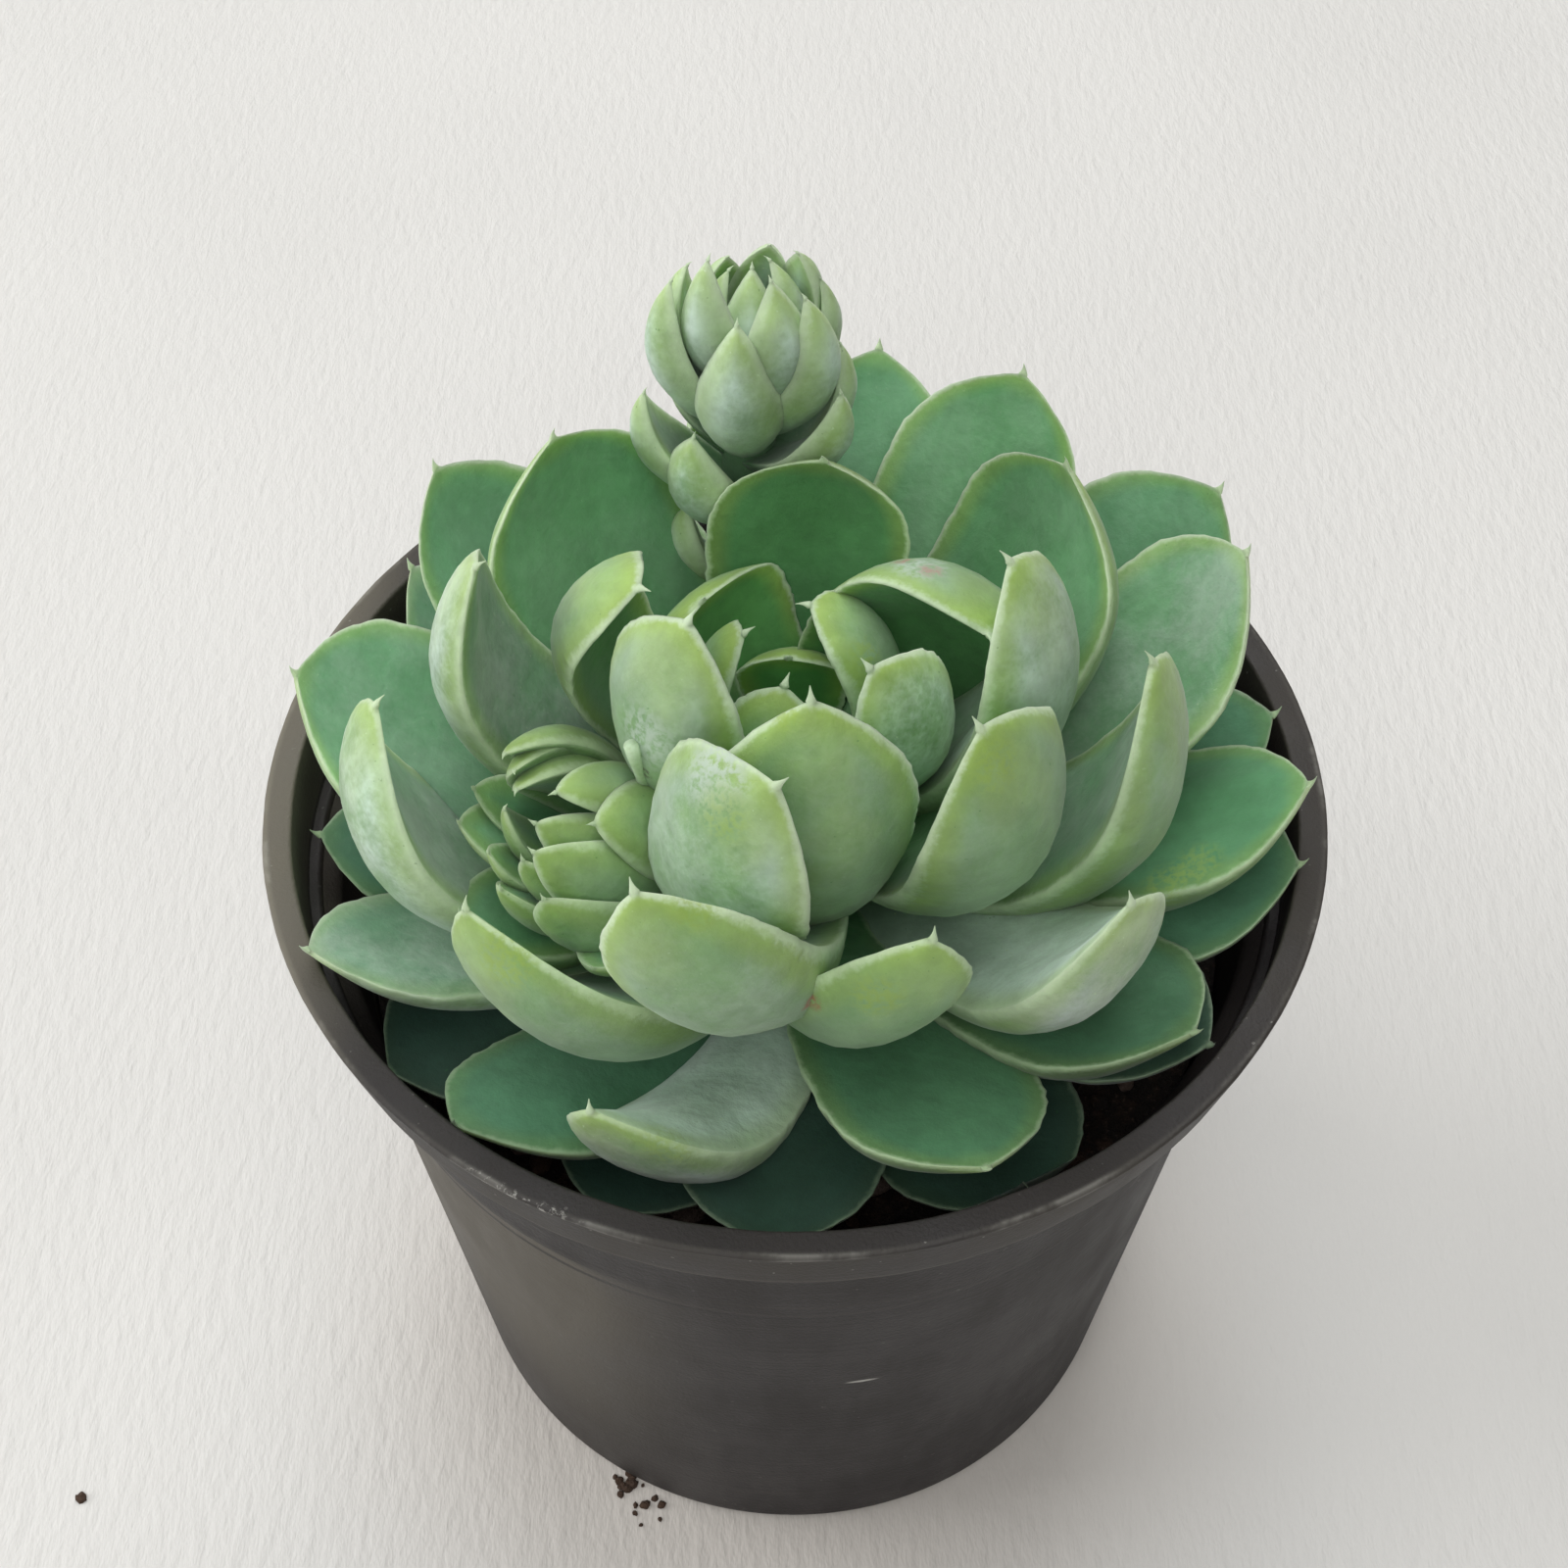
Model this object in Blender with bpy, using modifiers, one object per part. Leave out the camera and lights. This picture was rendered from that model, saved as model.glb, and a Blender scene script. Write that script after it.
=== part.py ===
"""Potted hailstones echeveria: a nursery pot, its potting mix, a rosette, an offset and a leafy shoot.

Lengths are in millimetres and are turned into metres where a mesh is made. The pot stands on z = 0,
its axis is the z axis, and the side seen in the photograph faces -Y. Leaf heights are given from the
pot's rim, azimuths in degrees from +X towards +Y.
"""

import math

import bmesh
import bpy
from mathutils import Matrix, Vector, noise

MM = 0.001
CLEARANCE = 0.35
LEAF_CLEARANCE = 0.6

# Pot
POT_HEIGHT = 65
RIM_RADIUS = 38
RIM_FLAT_WIDTH = 1.7
RIM_CORNER_WIDTH = 0.4
RIM_CORNER_HEIGHT = 0.6
LIP_HEIGHT = 5.7
LIP_FOOT_RADIUS = 36.7
LIP_INNER_RADIUS = 35.8
LIP_INNER_TAPER = 0.2
LIP_INNER_STEP = 1.6
NECK_RADIUS = 34.6
FOOT_RADIUS = 29
FOOT_ROUNDING = 0.8
WALL = 1.2
FLOOR = 1.6
DRAIN_HOLES = 4
DRAIN_HOLE_DIAMETER = 7
DRAIN_HOLE_REACH = 18
DRAIN_HOLE_SIDES = 24
DRILL_SPARE = 2
POT_SIDES = 48

# Potting mix
MIX_TOP = 50.5
MIX_LUMP = 0.9
MIX_LUMP_SPACING = 7
MIX_LUMP_SEED = 3.7
MIX_SIDES = 32
MIX_RINGS = 6
MIX_EDGE_DIP = 0.8
MIX_EDGE_POWER = 4

# Main rosette: its stem, then the rows of leaves from the lowest ring to the heart
STEM_RADIUS = 5
STEM_FOOT = 38
STEM_TOP = 68
STEM_SIDES = 16

# Where the leaves of a ring grow from the stem: height from the rim, distance from the axis
LEAF_FOOT = {"lowest": (-8, 4), "second": (-5, 4), "third": (-3, 4), "fourth": (0, 3), "heart": (3, 2)}

# azimuth, reach, height, width, roll, curl, bow, sway
LEAVES = {
    "lowest": (
        (-92, 35.5, -4, 14.2, 0, 15, 0, 0),
        (-129, 36, -1.4, 12.8, 0, 32, -3, 0),
        (-142, 35.5, -4.5, 15, 0, 15, 0, 0),
        (-154, 37, 2, 12.5, -12, 22, 0, 0),
        (-176, 35, -3, 13, 0, 15, 0, 0),
        (151, 33, 6, 13, -10, 30, 0, 0),
        (9, 36, 1, 14, 0, 15, 0, 0),
        (-13, 36.5, 1, 17, 0, 15, 0, 0),
        (-20, 31.5, -6, 12, 0, 15, 0, 0),
        (-38, 35.5, -1, 14, 0, 15, 0, 0),
        (-63, 35.3, -6, 15.5, 0, 15, 0, 0),
        (32, 33, -4, 13, 0, 15, 0, 0),
        (52, 34, -3, 14, 0, 15, 0, 0),
        (70, 33, -4, 13, 0, 15, 0, 0),
        (127, 33, -3, 14, 0, 15, 0, 0),
        (168, 33, -3, 13, 0, 15, 0, 0),
        (-112, 34, -7, 14, 0, 15, 0, 0),
    ),
    "second": (
        (180, 34.5, 12, 18, 3, 25, 0, 0),
        (148, 30.5, 16, 15, 0, 25, 0, 0),
        (28, 35, 13.5, 17, -8, 25, 0, 0),
        (-8, 36.2, 6, 15.5, 10, 30, 0, 0),
        (-41, 35, 2.2, 16, 8, 25, 0, 0),
        (-70, 35.4, 2.3, 15, 8, 25, 0, 0),
        (-115, 33.2, 4.5, 11.2, -12, 105, -3, -1),
        (78, 31, 15, 14, 0, 25, 0, 0),
        (121, 30, 5, 13, 0, 25, 0, 0),
    ),
    "third": (
        (-165.5, 28.5, 17.6, 13.6, -8, 110, -1.2, -0.6),
        (-134, 29.9, 14, 11.3, -25, 100, -3, 0),
        (-95, 25.1, 17, 11, 0, 75, 1, -10.5),
        (-46, 31, 17.3, 12.2, 0, 80, 0.5, 1.6),
        (-19, 24, 22, 13.5, 0, 85, 2.5, 0),
        (14, 32.5, 15.8, 15.5, -5, 30, 2.5, 0),
        (33, 22.5, 20, 18.5, 8, 35, 1.2, 0),
        (54.5, 28.8, 18.5, 15.5, 0, 30, 0, 0),
        (138, 23, 19.7, 19, -6, 30, -1, 0),
        (195, 20.5, 26, 11.5, 20, 80, 0, 2),
    ),
    "fourth": (
        (-105, 29, 24, 11.8, -25, 85, -1, 2),
        (-93, 22, 27, 14, 52, 55, -1, 0),
        (-50, 19.9, 26, 14, -12, 72, 0, 2.4),
        (-5, 13.7, 27, 13, 18, 70, 0, 2.6),
        (80, 11.2, 21.7, 14.5, 5, 30, -1.2, 0),
        (175, 9.5, 26, 9.5, 25, 90, -0.5, -6),
        (-87, 15.5, 27, 13.5, 0, 75, 0, 0),
        (40, 8, 19, 15, -40, 60, -1, 10.5),
    ),
    "heart": (
        (-124, 12, 28, 11.5, 10, 60, 0, 0),
        (115, 7, 14.5, 14.5, -20, 40, 0, -4),
        (-45, 10.5, 24, 9.3, -10, 60, -1.5, 4),
        (5, 1, 18, 8, 10, 80, 0, -1),
        (-110, 6.6, 18.5, 7, 0, 60, 0, -1.6),
        (85, 2.5, 11, 8, 0, 20, 0, -0.8),
        (180, 3.5, 17.5, 6.5, 0, 50, 0, -1.1),
        (-60, 6, 17, 5.5, 0, 60, 0, 3.5),
    ),
}

# Offset: its leaves grow from one foot at the side of the main stem
OFFSET_FOOT = (-9, -8, 2)
OFFSET_STEM_RADIUS = 2.2
OFFSET_STEM_ROOT = (-3.2, -2.8, -3)
OFFSET_STEM_REACH = 2
OFFSET_STEM_SIDES = 10
# tip x, tip y, tip height, width, curl, azimuth that the back of the leaf faces
OFFSET_LEAVES = (
    (-18.6, -11.5, 17.2, 5, 60, 88),
    (-18, -12.3, 16.5, 5.5, 60, 110),
    (-17.9, -13.1, 15.5, 5, 60, 95),
    (-15.2, -14.3, 16.8, 5, 60, 20),
    (-12.7, -16.2, 16, 7, 60, 0),
    (-22, -13, 12, 6, 25, 180),
    (-21.2, -10.5, 12.5, 5, 20, 160),
    (-18.7, -13.8, 14.5, 4, 60, -165),
    (-16.5, -15.8, 15.5, 5, 60, -40),
    (-16.4, -18.3, 15.8, 6, 60, -45),
    (-17.3, -17.6, 14, 5, 50, -90),
    (-18.9, -18, 11.5, 6, 45, -120),
    (-15.8, -20.3, 13.5, 7, 50, -70),
    (-22, -17.5, 6.5, 10, 25, -130),
    (-12.8, -23.2, 10, 5, 30, -95),
    (-19.8, -15.8, 12.5, 4.5, 50, -160),
)

# Leafy shoot: an upright stalk at the back, clothed in close leaves
SHOOT_X = -3.3
SHOOT_Y = 19
SHOOT_STALK_RADIUS = 2
SHOOT_FOOT = 38
SHOOT_TOP = 26
SHOOT_STALK_SIDES = 12
SHOOT_LEAF_FOOT = 0.8
SHOOT_CURL = 50
# tip x and y from the stalk, tip height, length, width, azimuth that the back of the leaf faces
SHOOT_LEAVES = (
    (-5, -1.8, 31.5, 13, 5.6, -155),
    (-4, 0.5, 31, 11, 5, 165),
    (-2.5, -1.5, 33, 11, 5, -125),
    (-1.3, 2, 30.5, 11, 5, 120),
    (-0.6, -4.5, 30, 13, 6.5, -96),
    (1.7, -2.5, 32, 12, 6, -60),
    (1.6, 2, 31.5, 10, 5, 85),
    (3.5, 0.5, 32, 11, 5, 40),
    (5, 1, 29.5, 10, 5, 5),
    (0.4, 0.2, 31, 12, 5.5, -90),
    (-1.2, 0.6, 30.5, 12, 4.5, -150),
    (1.6, 0.4, 31.5, 12, 4.5, -20),
    (4, -3, 31, 13, 6, -30),
    (6.5, -0.5, 25, 11, 5, 0),
    (6.5, -4.5, 24, 9, 6, -40),
    (-3.8, -4.5, 20, 9, 7, -125),
    (-7.3, -1.5, 21.5, 10, 6, -175),
    (-4.2, 3.5, 25, 10, 6, 145),
    (-0.2, 5, 24.5, 10, 6, 90),
    (4, 4, 24, 10, 6, 50),
    (-3, 4.5, 16, 9, 6, 125),
    (4, 4, 15, 9, 6, 45),
    (0.5, 5, 9, 9, 6, 85),
    (-4.5, -2, 11, 9, 6, -155),
    (4.5, -2.5, 12, 9, 6, -30),
)

# The form that every leaf shares. Widths, thickness and cupping are shares of the leaf's width
LEAF_STATIONS = (0, 0.27, 0.52, 0.74, 0.91, 1)
SMALL_LEAF_STATIONS = (0, 0.35, 0.68, 0.92, 1)
LEAF_COLUMNS = 5
SMALL_LEAF_COLUMNS = 4
SMALL_LEAF_WIDTH = 9
LEAF_THICKNESS = 0.25
LEAF_END_THICKNESS = 0.65
LEAF_BODY_END = 0.95
LEAF_CUPPING = 0.16
LEAF_FOOT_CUPPING = 0.3
LEAF_OPEN_BY = 0.5
LEAF_FOOT_WIDTH = 0.5
LEAF_SWELL_POWER = 1.4
LEAF_WIDEST = 0.64
LEAF_SHOULDER_POWER = 2.8
LEAF_SHOULDER_FULLNESS = 0.7
LEAF_TIP_WIDTH = 0.06
LEAF_TIP_THINNING = 0.9
LEAF_THIN_FROM = 0.5
LEAF_THINNING_POWER = 3
LEAF_BELLY_POWER = 2.2
LEAF_BELLY_FULLNESS = 0.75
LEAF_SPIKE = 0.5
CURVE_POWER = 1.5
CURVE_STEPS = 32


def clear_scene():
    for obj in list(bpy.data.objects):
        bpy.data.objects.remove(obj)


def collection(name):
    made = bpy.data.collections.new(name)
    bpy.context.scene.collection.children.link(made)
    return made


def solid(name, mesh, where):
    obj = bpy.data.objects.new(name, mesh)
    where.objects.link(obj)
    return obj


def as_helper(obj):
    obj.hide_render = True
    obj.display_type = "WIRE"
    return obj


def material(name, colour, roughness):
    made = bpy.data.materials.new(name)
    made.use_nodes = True
    shader = made.node_tree.nodes["Principled BSDF"]
    shader.inputs["Base Color"].default_value = (*colour, 1)
    shader.inputs["Roughness"].default_value = roughness
    return made


def loft(name, rings, end):
    """One closed mesh through rings of points, with a flat fan at the first and a point past the last."""
    shape = bmesh.new()
    rows = [[shape.verts.new(point * MM) for point in ring] for ring in rings]
    count = len(rows[0])
    for lower, upper in zip(rows, rows[1:]):
        for i in range(count):
            j = (i + 1) % count
            shape.faces.new((lower[i], lower[j], upper[j], upper[i]))
    middle = shape.verts.new(sum(rings[0], Vector()) / count * MM)
    point = shape.verts.new(end * MM)
    for i in range(count):
        j = (i + 1) % count
        shape.faces.new((middle, rows[0][j], rows[0][i]))
        shape.faces.new((point, rows[-1][i], rows[-1][j]))
    bmesh.ops.recalc_face_normals(shape, faces=shape.faces)
    mesh = bpy.data.meshes.new(name)
    shape.to_mesh(mesh)
    shape.free()
    return mesh


def leaf_half_width(t):
    if t < LEAF_WIDEST:
        swell = math.sin(t / LEAF_WIDEST * math.pi / 2) ** LEAF_SWELL_POWER
        return LEAF_FOOT_WIDTH + (1 - LEAF_FOOT_WIDTH) * swell
    past = (t - LEAF_WIDEST) / (1 - LEAF_WIDEST)
    shoulder = (1 - past**LEAF_SHOULDER_POWER) ** LEAF_SHOULDER_FULLNESS
    return LEAF_TIP_WIDTH + (1 - LEAF_TIP_WIDTH) * shoulder


def leaf_thickness(t):
    """The share of the leaf's thickness at t: fullest in the middle and thin at the tip."""
    middle = math.sin(math.pi * min(t / LEAF_BODY_END, 1))
    past = max(0, (t - LEAF_THIN_FROM) / (1 - LEAF_THIN_FROM))
    thinning = 1 - LEAF_TIP_THINNING * past**LEAF_THINNING_POWER
    return (LEAF_END_THICKNESS + (1 - LEAF_END_THICKNESS) * middle) * thinning


def leaf_curve(curl, length):
    """Points (along the chord, above it, slope) of a line that bends upwards by curl degrees."""
    slopes = [math.radians(curl) * (i / CURVE_STEPS) ** CURVE_POWER for i in range(CURVE_STEPS + 1)]
    along, up = [0.0], [0.0]
    for first, second in zip(slopes, slopes[1:]):
        along.append(along[-1] + (math.cos(first) + math.cos(second)) / 2)
        up.append(up[-1] + (math.sin(first) + math.sin(second)) / 2)
    turn = math.atan2(up[-1], along[-1])
    scale = length / math.hypot(up[-1], along[-1])
    points = []
    for y, z, slope in zip(along, up, slopes):
        y, z = y * scale, z * scale
        c, s = math.cos(turn), math.sin(turn)
        points.append((y * c + z * s, z * c - y * s, slope - turn))
    return points


def leaf_mesh(name, foot, tip, width, curl, azimuth, roll=0, bow=0, grow=0):
    """A thick leaf, hollow above and rounded below, from foot to tip. azimuth is where its back faces."""
    small = width < SMALL_LEAF_WIDTH
    stations = SMALL_LEAF_STATIONS if small else LEAF_STATIONS
    columns = SMALL_LEAF_COLUMNS if small else LEAF_COLUMNS
    chord = (tip - foot).normalized()
    out = Vector((math.cos(math.radians(azimuth)), math.sin(math.radians(azimuth)), 0))
    side = out.cross(Vector((0, 0, 1)))
    side = (side - side.dot(chord) * chord).normalized()
    face = side.cross(chord)
    turn = Matrix.Rotation(-math.radians(roll), 3, chord)
    side, face = turn @ side, turn @ face
    curve = leaf_curve(curl, (tip - foot).length)
    rings = []
    for t in stations:
        at = t * CURVE_STEPS
        low = min(int(at), CURVE_STEPS - 1)
        part = at - low
        along, above, slope = (a + (b - a) * part for a, b in zip(curve[low], curve[low + 1]))
        half = width / 2 * leaf_half_width(t)
        thickness = LEAF_THICKNESS * width * leaf_thickness(t)
        opening = LEAF_FOOT_CUPPING + (1 - LEAF_FOOT_CUPPING) * min(1, t / LEAF_OPEN_BY)
        cup = LEAF_CUPPING * width * leaf_half_width(t) * opening
        section = []
        for i in range(columns):
            x = math.cos(math.pi * i / (columns - 1))
            belly = thickness * (1 - abs(x) ** LEAF_BELLY_POWER) ** LEAF_BELLY_FULLNESS
            section.append((x * (half + grow), -cup * (1 - x * x) - belly - grow))
        # Both faces meet in one edge at the margins, but not where the leaf is grown as a cutter.
        inner = range(columns - 1, -1, -1) if grow else range(columns - 2, 0, -1)
        for i in inner:
            x = math.cos(math.pi * i / (columns - 1))
            section.append((x * (half + grow), -cup * (1 - x * x) + grow))
        shift = bow * math.sin(math.pi * t)
        up = face * math.cos(slope) - chord * math.sin(slope)
        centre = foot + chord * (along - (grow if t == 0 else 0)) + face * above + side * shift
        rings.append([centre + side * x + up * z for x, z in section])
    along, above, slope = curve[-1]
    end = foot + chord * along + face * above
    end += (chord * math.cos(slope) + face * math.sin(slope)) * (LEAF_SPIKE + 2 * grow)
    return loft(name, rings, end)


def rosette_leaves(grow=0):
    for ring, rows in LEAVES.items():
        rise, reach = LEAF_FOOT[ring]
        for number, (azimuth, r, height, width, roll, curl, bow, sway) in enumerate(rows, 1):
            c, s = math.cos(math.radians(azimuth)), math.sin(math.radians(azimuth))
            foot = Vector((reach * c, reach * s, POT_HEIGHT + rise))
            tip = Vector((r * c + sway * s, r * s - sway * c, POT_HEIGHT + height))
            yield leaf_mesh(f"{ring}_{number}", foot, tip, width, curl, azimuth, roll, bow, grow)


def offset_leaves(grow=0):
    foot = Vector(OFFSET_FOOT) + Vector((0, 0, POT_HEIGHT))
    for number, (x, y, height, width, curl, azimuth) in enumerate(OFFSET_LEAVES, 1):
        tip = Vector((x, y, POT_HEIGHT + height))
        yield leaf_mesh(f"offset_{number}", foot, tip, width, curl, azimuth, grow=grow)


def shoot_leaves(grow=0):
    stalk = Vector((SHOOT_X, SHOOT_Y, POT_HEIGHT))
    for number, (x, y, height, length, width, azimuth) in enumerate(SHOOT_LEAVES, 1):
        c, s = math.cos(math.radians(azimuth)), math.sin(math.radians(azimuth))
        foot = stalk + Vector((SHOOT_LEAF_FOOT * c, SHOOT_LEAF_FOOT * s, height - length))
        tip = stalk + Vector((x, y, height))
        yield leaf_mesh(f"shoot_{number}", foot, tip, width, SHOOT_CURL, azimuth, grow=grow)


def bar_mesh(name, start, end, radius, sides):
    """A straight round bar between two points."""
    along = end - start
    turn = along.to_track_quat("Z", "Y").to_matrix().to_4x4()
    shape = bmesh.new()
    bmesh.ops.create_cone(
        shape,
        cap_ends=True,
        segments=sides,
        radius1=radius * MM,
        radius2=radius * MM,
        depth=along.length * MM,
        matrix=Matrix.Translation((start + end) / 2 * MM) @ turn,
    )
    mesh = bpy.data.meshes.new(name)
    shape.to_mesh(mesh)
    shape.free()
    return mesh


def turned(name, profile, sides, where):
    """The closed profile (radius, height) turned about the z axis."""
    mesh = bpy.data.meshes.new(name)
    edges = [(i, i + 1) for i in range(len(profile) - 1)]
    mesh.from_pydata([(r * MM, 0, z * MM) for r, z in profile], edges, [])
    obj = solid(name, mesh, where)
    screw = obj.modifiers.new("turn", "SCREW")
    screw.steps = screw.render_steps = sides
    screw.use_merge_vertices = True
    screw.merge_threshold = 0.00001
    screw.use_normal_calculate = True
    return obj


def apply_modifiers(obj):
    graph = bpy.context.evaluated_depsgraph_get()
    mesh = bpy.data.meshes.new_from_object(obj.evaluated_get(graph))
    obj.modifiers.clear()
    obj.data = mesh


def combine(obj, meshes, operation, name):
    """Joins the meshes to obj, or cuts them from it, in one step."""
    group = collection(name)
    for mesh in meshes:
        as_helper(solid(mesh.name, mesh, group))
    step = obj.modifiers.new(name, "BOOLEAN")
    step.operation = operation
    step.operand_type = "COLLECTION"
    step.collection = group
    step.solver = "MANIFOLD"
    bpy.context.view_layer.update()
    apply_modifiers(obj)
    for other in list(group.objects):
        bpy.data.objects.remove(other)
    bpy.data.collections.remove(group)


def keep_largest_body(obj):
    """Drops the scraps that a cut leaves beside the main body."""
    shape = bmesh.new()
    shape.from_mesh(obj.data)
    left = set(shape.verts)
    bodies = []
    while left:
        body = {left.pop()}
        edge = list(body)
        while edge:
            vert = edge.pop()
            for link in vert.link_edges:
                other = link.other_vert(vert)
                if other in left:
                    left.discard(other)
                    body.add(other)
                    edge.append(other)
        bodies.append(body)
    bodies.sort(key=len)
    for body in bodies[:-1]:
        bmesh.ops.delete(shape, geom=list(body), context="VERTS")
    shape.to_mesh(obj.data)
    shape.free()


def pot_profile(grow=0):
    """The wall's section from the floor's centre outwards and back, thickened by grow all round."""
    rim = POT_HEIGHT + grow
    neck = POT_HEIGHT - LIP_HEIGHT
    slope = (NECK_RADIUS - FOOT_RADIUS) / neck
    lip_inner = LIP_INNER_RADIUS - grow
    neck_inner = NECK_RADIUS - WALL - grow
    floor = FLOOR + grow
    return [
        (0, -grow),
        (FOOT_RADIUS - FOOT_ROUNDING + grow, -grow),
        (FOOT_RADIUS + grow, FOOT_ROUNDING),
        (NECK_RADIUS + grow, neck - grow),
        (LIP_FOOT_RADIUS + grow, neck - grow),
        (RIM_RADIUS + grow, rim - RIM_CORNER_HEIGHT),
        (RIM_RADIUS - RIM_CORNER_WIDTH + grow, rim),
        (RIM_RADIUS - RIM_CORNER_WIDTH - RIM_FLAT_WIDTH - grow, rim),
        (lip_inner - LIP_INNER_TAPER, neck + grow),
        (neck_inner, neck - LIP_INNER_STEP + grow),
        (FOOT_RADIUS + slope * floor - WALL - grow, floor),
        (0, floor),
    ]


def make_pot(where):
    pot = turned("pot", pot_profile(), POT_SIDES, where)
    apply_modifiers(pot)
    holes = []
    for number in range(DRAIN_HOLES):
        angle = math.tau * (number + 0.5) / DRAIN_HOLES
        middle = Vector((DRAIN_HOLE_REACH * math.cos(angle), DRAIN_HOLE_REACH * math.sin(angle), 0))
        start = middle - Vector((0, 0, DRILL_SPARE))
        end = middle + Vector((0, 0, FLOOR + DRILL_SPARE))
        holes.append(bar_mesh(f"drain_{number}", start, end, DRAIN_HOLE_DIAMETER / 2, DRAIN_HOLE_SIDES))
    combine(pot, holes, "DIFFERENCE", "drains")
    pot.data.materials.append(material("black nursery plastic", (0.06, 0.055, 0.055), 0.6))
    return pot


def mix_height(x, y):
    point = Vector((x / MIX_LUMP_SPACING, y / MIX_LUMP_SPACING, MIX_LUMP_SEED))
    edge = math.hypot(x, y) / NECK_RADIUS
    return MIX_TOP + MIX_LUMP * noise.noise(point) - MIX_EDGE_DIP * edge**MIX_EDGE_POWER


def make_potting_mix(where):
    slope = (NECK_RADIUS - FOOT_RADIUS) / (POT_HEIGHT - LIP_HEIGHT)
    low = FLOOR + CLEARANCE
    gap = WALL + CLEARANCE
    top = FOOT_RADIUS + slope * MIX_TOP - gap
    shape = bmesh.new()
    rows = []
    for level in (low, MIX_TOP / 2):
        radius = FOOT_RADIUS + slope * level - gap
        rows.append([(radius, level) for _ in range(MIX_SIDES)])
    for ring in range(MIX_RINGS, 0, -1):
        rows.append([(top * ring / MIX_RINGS, None) for _ in range(MIX_SIDES)])
    placed = []
    for row in rows:
        verts = []
        for i, (radius, level) in enumerate(row):
            angle = math.tau * i / MIX_SIDES
            x, y = radius * math.cos(angle), radius * math.sin(angle)
            z = mix_height(x, y) if level is None else level
            verts.append(shape.verts.new((x * MM, y * MM, z * MM)))
        placed.append(verts)
    for lower, upper in zip(placed, placed[1:]):
        for i in range(MIX_SIDES):
            j = (i + 1) % MIX_SIDES
            shape.faces.new((lower[i], lower[j], upper[j], upper[i]))
    shape.faces.new(list(reversed(placed[0])))
    crown = shape.verts.new((0, 0, mix_height(0, 0) * MM))
    for i in range(MIX_SIDES):
        shape.faces.new((placed[-1][i], placed[-1][(i + 1) % MIX_SIDES], crown))
    bmesh.ops.recalc_face_normals(shape, faces=shape.faces)
    mesh = bpy.data.meshes.new("potting_mix")
    shape.to_mesh(mesh)
    shape.free()
    mix = solid("potting_mix", mesh, where)
    stem = bar_mesh(
        "stem_hole",
        Vector((0, 0, STEM_FOOT - 1)),
        Vector((0, 0, POT_HEIGHT)),
        STEM_RADIUS + CLEARANCE,
        STEM_SIDES,
    )
    stalk = bar_mesh(
        "stalk_hole",
        Vector((SHOOT_X, SHOOT_Y, SHOOT_FOOT - 1)),
        Vector((SHOOT_X, SHOOT_Y, POT_HEIGHT)),
        SHOOT_STALK_RADIUS + CLEARANCE,
        SHOOT_STALK_SIDES,
    )
    combine(mix, [stem, stalk], "DIFFERENCE", "holes")
    mix.data.materials.append(material("dark potting mix", (0.03, 0.022, 0.018), 0.95))
    return mix


def offset_stem(grow=0):
    top = Vector((0, 0, POT_HEIGHT))
    foot, root = Vector(OFFSET_FOOT) + top, Vector(OFFSET_STEM_ROOT) + top
    along = (foot - root).normalized()
    end = foot + along * (OFFSET_STEM_REACH + grow)
    return bar_mesh("offset_stem", root - along * grow, end, OFFSET_STEM_RADIUS + grow, OFFSET_STEM_SIDES)


def shoot_stalk(grow=0):
    foot = Vector((SHOOT_X, SHOOT_Y, SHOOT_FOOT - grow))
    top = Vector((SHOOT_X, SHOOT_Y, POT_HEIGHT + SHOOT_TOP + grow))
    return bar_mesh("shoot_stalk", foot, top, SHOOT_STALK_RADIUS + grow, SHOOT_STALK_SIDES)


def make_offset(where):
    offset = solid("offset_rosette", offset_stem(), where)
    combine(offset, offset_leaves(), "UNION", "offset_leaves")
    offset.data.materials.append(material("young leaf green", (0.3, 0.5, 0.22), 0.5))
    return offset


def make_shoot(where):
    shoot = solid("leafy_shoot", shoot_stalk(), where)
    combine(shoot, shoot_leaves(), "UNION", "shoot_leaves")
    shoot.data.materials.append(material("pale leaf green", (0.42, 0.58, 0.38), 0.5))
    return shoot


def make_rosette(where):
    """The main stem with its leaves, cut clear of the pot, the offset and the shoot."""
    foot, top = Vector((0, 0, STEM_FOOT)), Vector((0, 0, STEM_TOP))
    stem = bar_mesh("main_rosette", foot, top, STEM_RADIUS, STEM_SIDES)
    rosette = solid("main_rosette", stem, where)
    combine(rosette, rosette_leaves(), "UNION", "leaves")
    shell = turned("pot_shell", pot_profile(CLEARANCE), POT_SIDES, where)
    apply_modifiers(shell)
    mesh = shell.data
    bpy.data.objects.remove(shell)
    combine(rosette, [mesh], "DIFFERENCE", "pot_clearance")
    near = [*offset_leaves(LEAF_CLEARANCE), offset_stem(CLEARANCE)]
    combine(rosette, near, "DIFFERENCE", "offset_clearance")
    near = [*shoot_leaves(LEAF_CLEARANCE), shoot_stalk(CLEARANCE)]
    combine(rosette, near, "DIFFERENCE", "shoot_clearance")
    keep_largest_body(rosette)
    rosette.data.materials.append(material("glaucous leaf green", (0.25, 0.45, 0.26), 0.5))
    return rosette


def main():
    clear_scene()
    plant = collection("potted_echeveria")
    make_pot(plant)
    make_potting_mix(plant)
    make_rosette(plant)
    make_offset(plant)
    make_shoot(plant)


main()
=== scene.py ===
"""The looks of a potted hailstones echeveria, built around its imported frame.

Lengths in the tables are in millimetres and are turned into metres where a mesh is made. The pot
stands on z = 0, its axis is the z axis, and the side seen in the photograph faces -Y. Leaf heights
are given from the pot's rim, azimuths in degrees from +X towards +Y.
"""

import math
import random

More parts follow.
